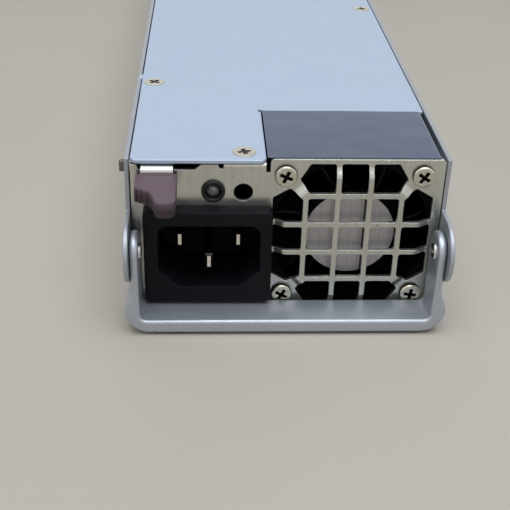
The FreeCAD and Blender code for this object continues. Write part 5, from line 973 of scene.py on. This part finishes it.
def handle_stations(handle):
    """Right half of the hoop, from the tip of the arm to the middle of the bar: inside, outside, depth."""
    low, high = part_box("bail_handle")
    reach = handle.depth / 2
    pivot_z = high.z - reach
    arm_in = ARM_OUT - handle.arm
    outer = high.x
    bottom = low.z
    bar_top = bottom + handle.bar
    stations = []
    for k in range(14):                             # round end
        a = math.radians(86 - 86 * k / 13)
        z = pivot_z + reach * math.sin(a)
        half = handle.arm / 2
        gap = reach * (1 - math.sin(a))
        tip = half * 0.96
        if gap < tip:
            half = half - tip + math.sqrt(max(1e-12, tip * tip - (tip - gap) ** 2))
        middle = (arm_in + ARM_OUT) / 2
        stations.append(((middle - half, z), (middle + half, z), 2 * reach * math.cos(a)))
    for k in range(1, 9):                           # straight part of the arm
        z = pivot_z - ARM_STRAIGHT * k / 8
        stations.append(((arm_in, z), (ARM_OUT, z), handle.depth))
    flare = pivot_z - ARM_STRAIGHT
    fall = flare - (bottom + BEND_OUT)
    for k in range(1, 9):                           # flare to the full width
        t = k / 8
        ease = 3 * t * t - 2 * t ** 3
        stations.append(((arm_in, flare - fall * t), (ARM_OUT + (outer - ARM_OUT) * ease, flare - fall * t),
                         handle.depth))
    for k in range(1, 13):                          # lower corner
        a = math.radians(90 * k / 12)
        stations.append(((arm_in - BEND_IN * (1 - math.cos(a)), bar_top + BEND_IN * (1 - math.sin(a))),
                         (outer - BEND_OUT * (1 - math.cos(a)), bottom + BEND_OUT * (1 - math.sin(a))),
                         handle.depth))
    for k in range(1, 13):                          # half of the bar
        x = (arm_in - BEND_IN) * (1 - k / 12)
        stations.append(((x, bar_top), (x, bottom), handle.depth))
    return stations


class SUPPLY_OT_handle(bpy.types.Operator):
    """Drop handle and the rivets it swings on"""
    bl_idname = "supply.handle"
    bl_label = "Drop handle"

    def execute(self, context):
        handle = context.scene.supply_handle
        low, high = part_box("bail_handle")
        middle_y = (low.y + high.y) / 2
        half = handle_stations(handle)
        rings = []
        for side in (1, -1):
            stations = half if side == 1 else list(reversed(half[:-1]))
            for inner, outer, depth in stations:
                a = Vector((side * inner[0], 0, inner[1]))
                b = Vector((side * outer[0], 0, outer[1]))
                across = (b - a).normalized()
                centre = (a + b) / 2
                ring = rounded_ring((b - a).length, depth, handle.edge)
                rings.append([centre + across * u + Vector((0, middle_y + v, 0)) for u, v in ring])
        hoop = shown("handle_hoop", mesh_of("handle_hoop", lambda bm: skin(bm, rings)))
        smoothed(hoop, 60.0)
        carried(hoop, "handle", "handle_silver", "bail_handle")
        pivot_z = high.z - handle.depth / 2
        head = head_mesh("rivet", radius=RIVET_R, height=RIVET_HEAD, dome=0.35, edge=0.3 * MM, rings=10,
                         spokes=40)
        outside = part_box("handle_rivets")[1].x - RIVET_HEAD
        inside = ARM_OUT - handle.arm - RIVET_PLAY
        places = []
        for side in (1, -1):
            places.append(((side * outside, middle_y, pivot_z), (0.0, side * math.pi / 2, 0.0)))
            places.append(((side * inside, middle_y, pivot_z), (0.0, -side * math.pi / 2, 0.0)))
        carried(set_of("rivet_heads", head, places, "rivet_steel"), "case", "rivet_steel", "handle_rivets")
        return {"FINISHED"}


def rounded_path(corners, step):
    """Points round a closed outline of (x, y, radius), with the corner that each follows."""
    count = len(corners)
    ends = []
    for i, (x, y, radius) in enumerate(corners):
        point = Vector((x, y))
        before = (Vector(corners[i - 1][:2]) - point).normalized()
        after = (Vector(corners[(i + 1) % count][:2]) - point).normalized()
        half = before.angle(after) / 2
        centre = point + (before + after).normalized() * (radius / math.sin(half))
        reach = radius / math.tan(half)
        ends.append((point + before * reach, point + after * reach, centre, radius))
    points = []
    for i, (start, end, centre, radius) in enumerate(ends):
        first = math.atan2(*(start - centre).yx)
        sweep = math.atan2(*(end - centre).yx) - first
        sweep = (sweep + math.pi) % math.tau - math.pi
        bends = max(3, round(abs(sweep) * radius / step))
        for k in range(bends + 1):
            turn = first + sweep * k / bends
            points.append((centre + radius * Vector((math.cos(turn), math.sin(turn))), i))
        following = ends[(i + 1) % count][0]
        runs = max(1, round((following - end).length / step))
        points += [(end.lerp(following, k / runs), i) for k in range(1, runs)]
    return points


def tab_mesh(tab):
    """Moulded grip with upright ribs in its hollow and rounded top and bottom edges."""
    low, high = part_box("thumb_tab")
    width = high.x - low.x
    back = high.y
    nose = low.x + 0.56 * width
    shoulder = high.y - tab.shoulder
    corners = [(high.x, back, 0.4 * MM), (high.x, low.y, 2.0 * MM), (nose, low.y, 1.2 * MM),
               (low.x + 0.4 * width, shoulder - 2.6 * MM, 2.6 * MM), (low.x, shoulder, 0.7 * MM),
               (low.x, back, 0.4 * MM)]
    path = rounded_path(corners, 0.14 * MM)
    spots = [p for p, _ in path]
    count = len(spots)
    ribbed = [i for i, (_, corner) in enumerate(path) if corner in (2, 3)]
    start = ribbed[0] + 6
    span = ribbed[-1] - start
    outward = []
    for i in range(count):
        along = (spots[(i + 1) % count] - spots[i - 1]).normalized()
        outward.append(Vector((-along.y, along.x)))
    middle = sum(spots, Vector((0, 0))) / count
    if outward[0].dot(spots[0] - middle) < 0:
        outward = [-n for n in outward]

    def flute(i):
        share = (i - start) / span
        return 1 - abs(math.sin(math.pi * tab.ribs * share)) if 0 < share < 1 else 0.0

    # height, inset and share of the grooves' depth, from the underside up
    r = tab.edge
    levels = [(0, r, 1), (0.13, 0.5 * r, 1), (0.4, 0.18 * r, 1), (0.75, 0.03 * r, 1), (1, 0, 1)]
    levels = [(low.z + share * r, inset, deep) for share, inset, deep in levels]
    top = [(high.z - 3 * r, 0, 1), (high.z - 2 * r, 0, 0.75), (high.z - 1.4 * r, 0, 0.25), (high.z - r, 0, 0),
           (high.z - 0.6 * r, 0.08 * r, 0), (high.z - 0.25 * r, 0.34 * r, 0), (high.z, r, 0)]
    rings = []
    for z, inset, deep in levels + top:
        rings.append([(*(p - n * (inset + deep * tab.groove * flute(i))), z)
                      for i, (p, n) in enumerate(zip(spots, outward))])
    return mesh_of("tab_grip", lambda bm: skin(bm, rings))


class SUPPLY_OT_latch(bpy.types.Operator):
    """Latch strip and its moulded thumb tab"""
    bl_idname = "supply.latch"
    bl_label = "Latch"

    def execute(self, context):
        carried(eased_copy("latch_lever", 0.12 * MM), "latch", "latch_steel", "latch_lever")
        grip = shown("tab_grip", tab_mesh(context.scene.supply_tab))
        smoothed(grip, 50.0)
        carried(grip, "latch", "tab_plum", "thumb_tab")
        return {"FINISHED"}


class SUPPLY_OT_lamp(bpy.types.Operator):
    """Lamp in the face: a black ring round a clear dome"""
    bl_idname = "supply.lamp"
    bl_label = "Lamp"

    def execute(self, context):
        low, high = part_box("lamp_bezel")
        axis = ((low.x + high.x) / 2, (low.z + high.z) / 2)
        rim = (high.x - low.x) / 2
        front = low.y
        bore = 1.53 * MM
        sleeve = 2.28 * MM
        rear = 4.0 * MM
        ring = [(bore, rear), (bore, front + 0.7 * MM), (1.75 * MM, front + 0.45 * MM),
                (2.0 * MM, front + 0.12 * MM), (2.25 * MM, front), (rim - 0.25 * MM, front + 0.06 * MM),
                (rim - 0.06 * MM, front + 0.25 * MM), (rim, front + 0.5 * MM), (rim, 0.0), (sleeve, 0.0),
                (sleeve, rear)]
        carried(turned_piece("lamp_ring", axis, ring, True), "case", "bezel_black", "lamp_bezel")
        low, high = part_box("lamp_lens")
        dome = 1.49 * MM
        collar = 1.85 * MM
        seat = 4.1 * MM
        body = [(0.02 * MM, low.y)]
        body += [(dome * math.sin(a), low.y + dome * (1 - math.cos(a)))
                 for a in (math.radians(9 * k) for k in range(1, 11))]
        body += [(dome, seat), (collar, seat), (collar, high.y - 0.02 * MM)]
        carried(turned_piece("lamp_dome", axis, body, False), "case", "lamp_clear", "lamp_lens")
        return {"FINISHED"}


class SUPPLY_OT_stage(bpy.types.Operator):
    """Floor, lights, room and camera"""
    bl_idname = "supply.stage"
    bl_label = "Stage"

    def execute(self, context):
        stage = context.scene.supply_stage
        build_floor(stage)
        build_room(stage)
        add_lamp("top lamp", stage.top_light, **TOP_LAMP)
        add_lamp("side lamp", stage.side_light, **SIDE_LAMP)
        add_camera(context.scene)
        context.scene.view_settings.view_transform = "Standard"
        return {"FINISHED"}


def build_floor(stage):
    """Plain pale floor just under the object."""
    under = Matrix.Translation((0, 0, SOLIDS_BOX[0].z - FLOOR_GAP))
    mesh = mesh_of("floor", lambda bm: bmesh.ops.create_grid(
        bm, x_segments=8, y_segments=8, size=FLOOR_HALF, matrix=under))
    floor = shown("floor", mesh)
    material, tree, shader, place = base_finish("floor")
    soft = effect(tree, "marks", {"Vector": place, "Scale": 14.0})
    feed(tree, shader, {"Base Color": clouded(tree, soft, list(stage.floor_colour), 0.015),
                        "Roughness": 0.6})
    mesh.materials.append(material)


def build_room(stage):
    """Even light from all round, and a pale background behind the object."""
    world = bpy.data.worlds.new("room")
    bpy.context.scene.world = world
    world.use_nodes = True
    tree = world.node_tree
    lit = feed(tree, tree.nodes["Background"], {"Color": (1.0, 0.97, 0.93, 1), "Strength": stage.room_light})
    seen = put(tree, "ShaderNodeBackground", {"Color": (0.93, 0.94, 0.95, 1), "Strength": 1.0})
    ray = put(tree, "ShaderNodeLightPath").outputs
    direct = maths(tree, "MAXIMUM", maths(tree, "MAXIMUM", ray["Is Camera Ray"], ray["Is Glossy Ray"]),
                   ray["Is Transmission Ray"])
    feed(tree, tree.nodes["World Output"],
         {0: put(tree, "ShaderNodeMixShader", {0: direct, 1: lit, 2: seen})})


def add_lamp(name, power, place, target, size, colour):
    """Round soft lamp that faces a target."""
    data = bpy.data.lights.new(name, "AREA")
    data.shape = "DISK"
    data.size = size
    data.energy = power
    data.color = colour
    lamp = shown(name, data)
    lamp.location = place
    lamp.rotation_euler = (Vector(target) - Vector(place)).to_track_quat("-Z", "Y").to_euler()


def add_camera(scene):
    """Camera in front of the case, above it and a little to its left."""
    data = bpy.data.cameras.new("camera")
    data.lens = CAMERA_LENS
    data.sensor_width = 36.0
    data.clip_start = 0.01
    camera = shown("camera", data)
    turn = Matrix()
    for axis, angle in CAMERA_TURNS:
        turn = turn @ Matrix.Rotation(angle, 4, axis)
    upright = Matrix(((1, 0, 0, 0), (0, 0, -1, 0), (0, 1, 0, 0), (0, 0, 0, 1)))
    camera.matrix_world = Matrix.Translation(CAMERA_PLACE) @ turn @ upright
    scene.camera = camera


class SUPPLY_PT_sidebar(bpy.types.Panel):
    """Lists the pieces in the order they are made"""
    bl_idname = "SUPPLY_PT_sidebar"
    bl_label = "Power supply"
    bl_space_type = "VIEW_3D"
    bl_region_type = "UI"
    bl_category = "Power supply"

    def draw(self, context):
        for step in OPERATORS:
            self.layout.operator(step.bl_idname)
        for group in SETTINGS:
            box = self.layout.box()
            owner = getattr(context.scene, group)
            for name in owner.__annotations__:
                box.prop(owner, name)


SETTINGS = {"supply_finish": SupplyFinish, "supply_face": SupplyFace, "supply_handle": SupplyHandle,
            "supply_tab": SupplyTab, "supply_stage": SupplyStage}
OPERATORS = (SUPPLY_OT_stage, SUPPLY_OT_finishes, SUPPLY_OT_case_sheets, SUPPLY_OT_face_panel,
             SUPPLY_OT_screws, SUPPLY_OT_film, SUPPLY_OT_inlet, SUPPLY_OT_handle, SUPPLY_OT_latch,
             SUPPLY_OT_lamp)


def register():
    for made in (*SETTINGS.values(), *OPERATORS, SUPPLY_PT_sidebar):
        bpy.utils.register_class(made)
    for name, group in SETTINGS.items():
        setattr(bpy.types.Scene, name, bpy.props.PointerProperty(type=group))


def unregister():
    for name in SETTINGS:
        delattr(bpy.types.Scene, name)
    for made in reversed((*SETTINGS.values(), *OPERATORS, SUPPLY_PT_sidebar)):
        bpy.utils.unregister_class(made)


def main():
    register()
    for step in OPERATORS:
        area, name = step.bl_idname.split(".")
        getattr(getattr(bpy.ops, area), name)()


if __name__ == "__main__":
    main()
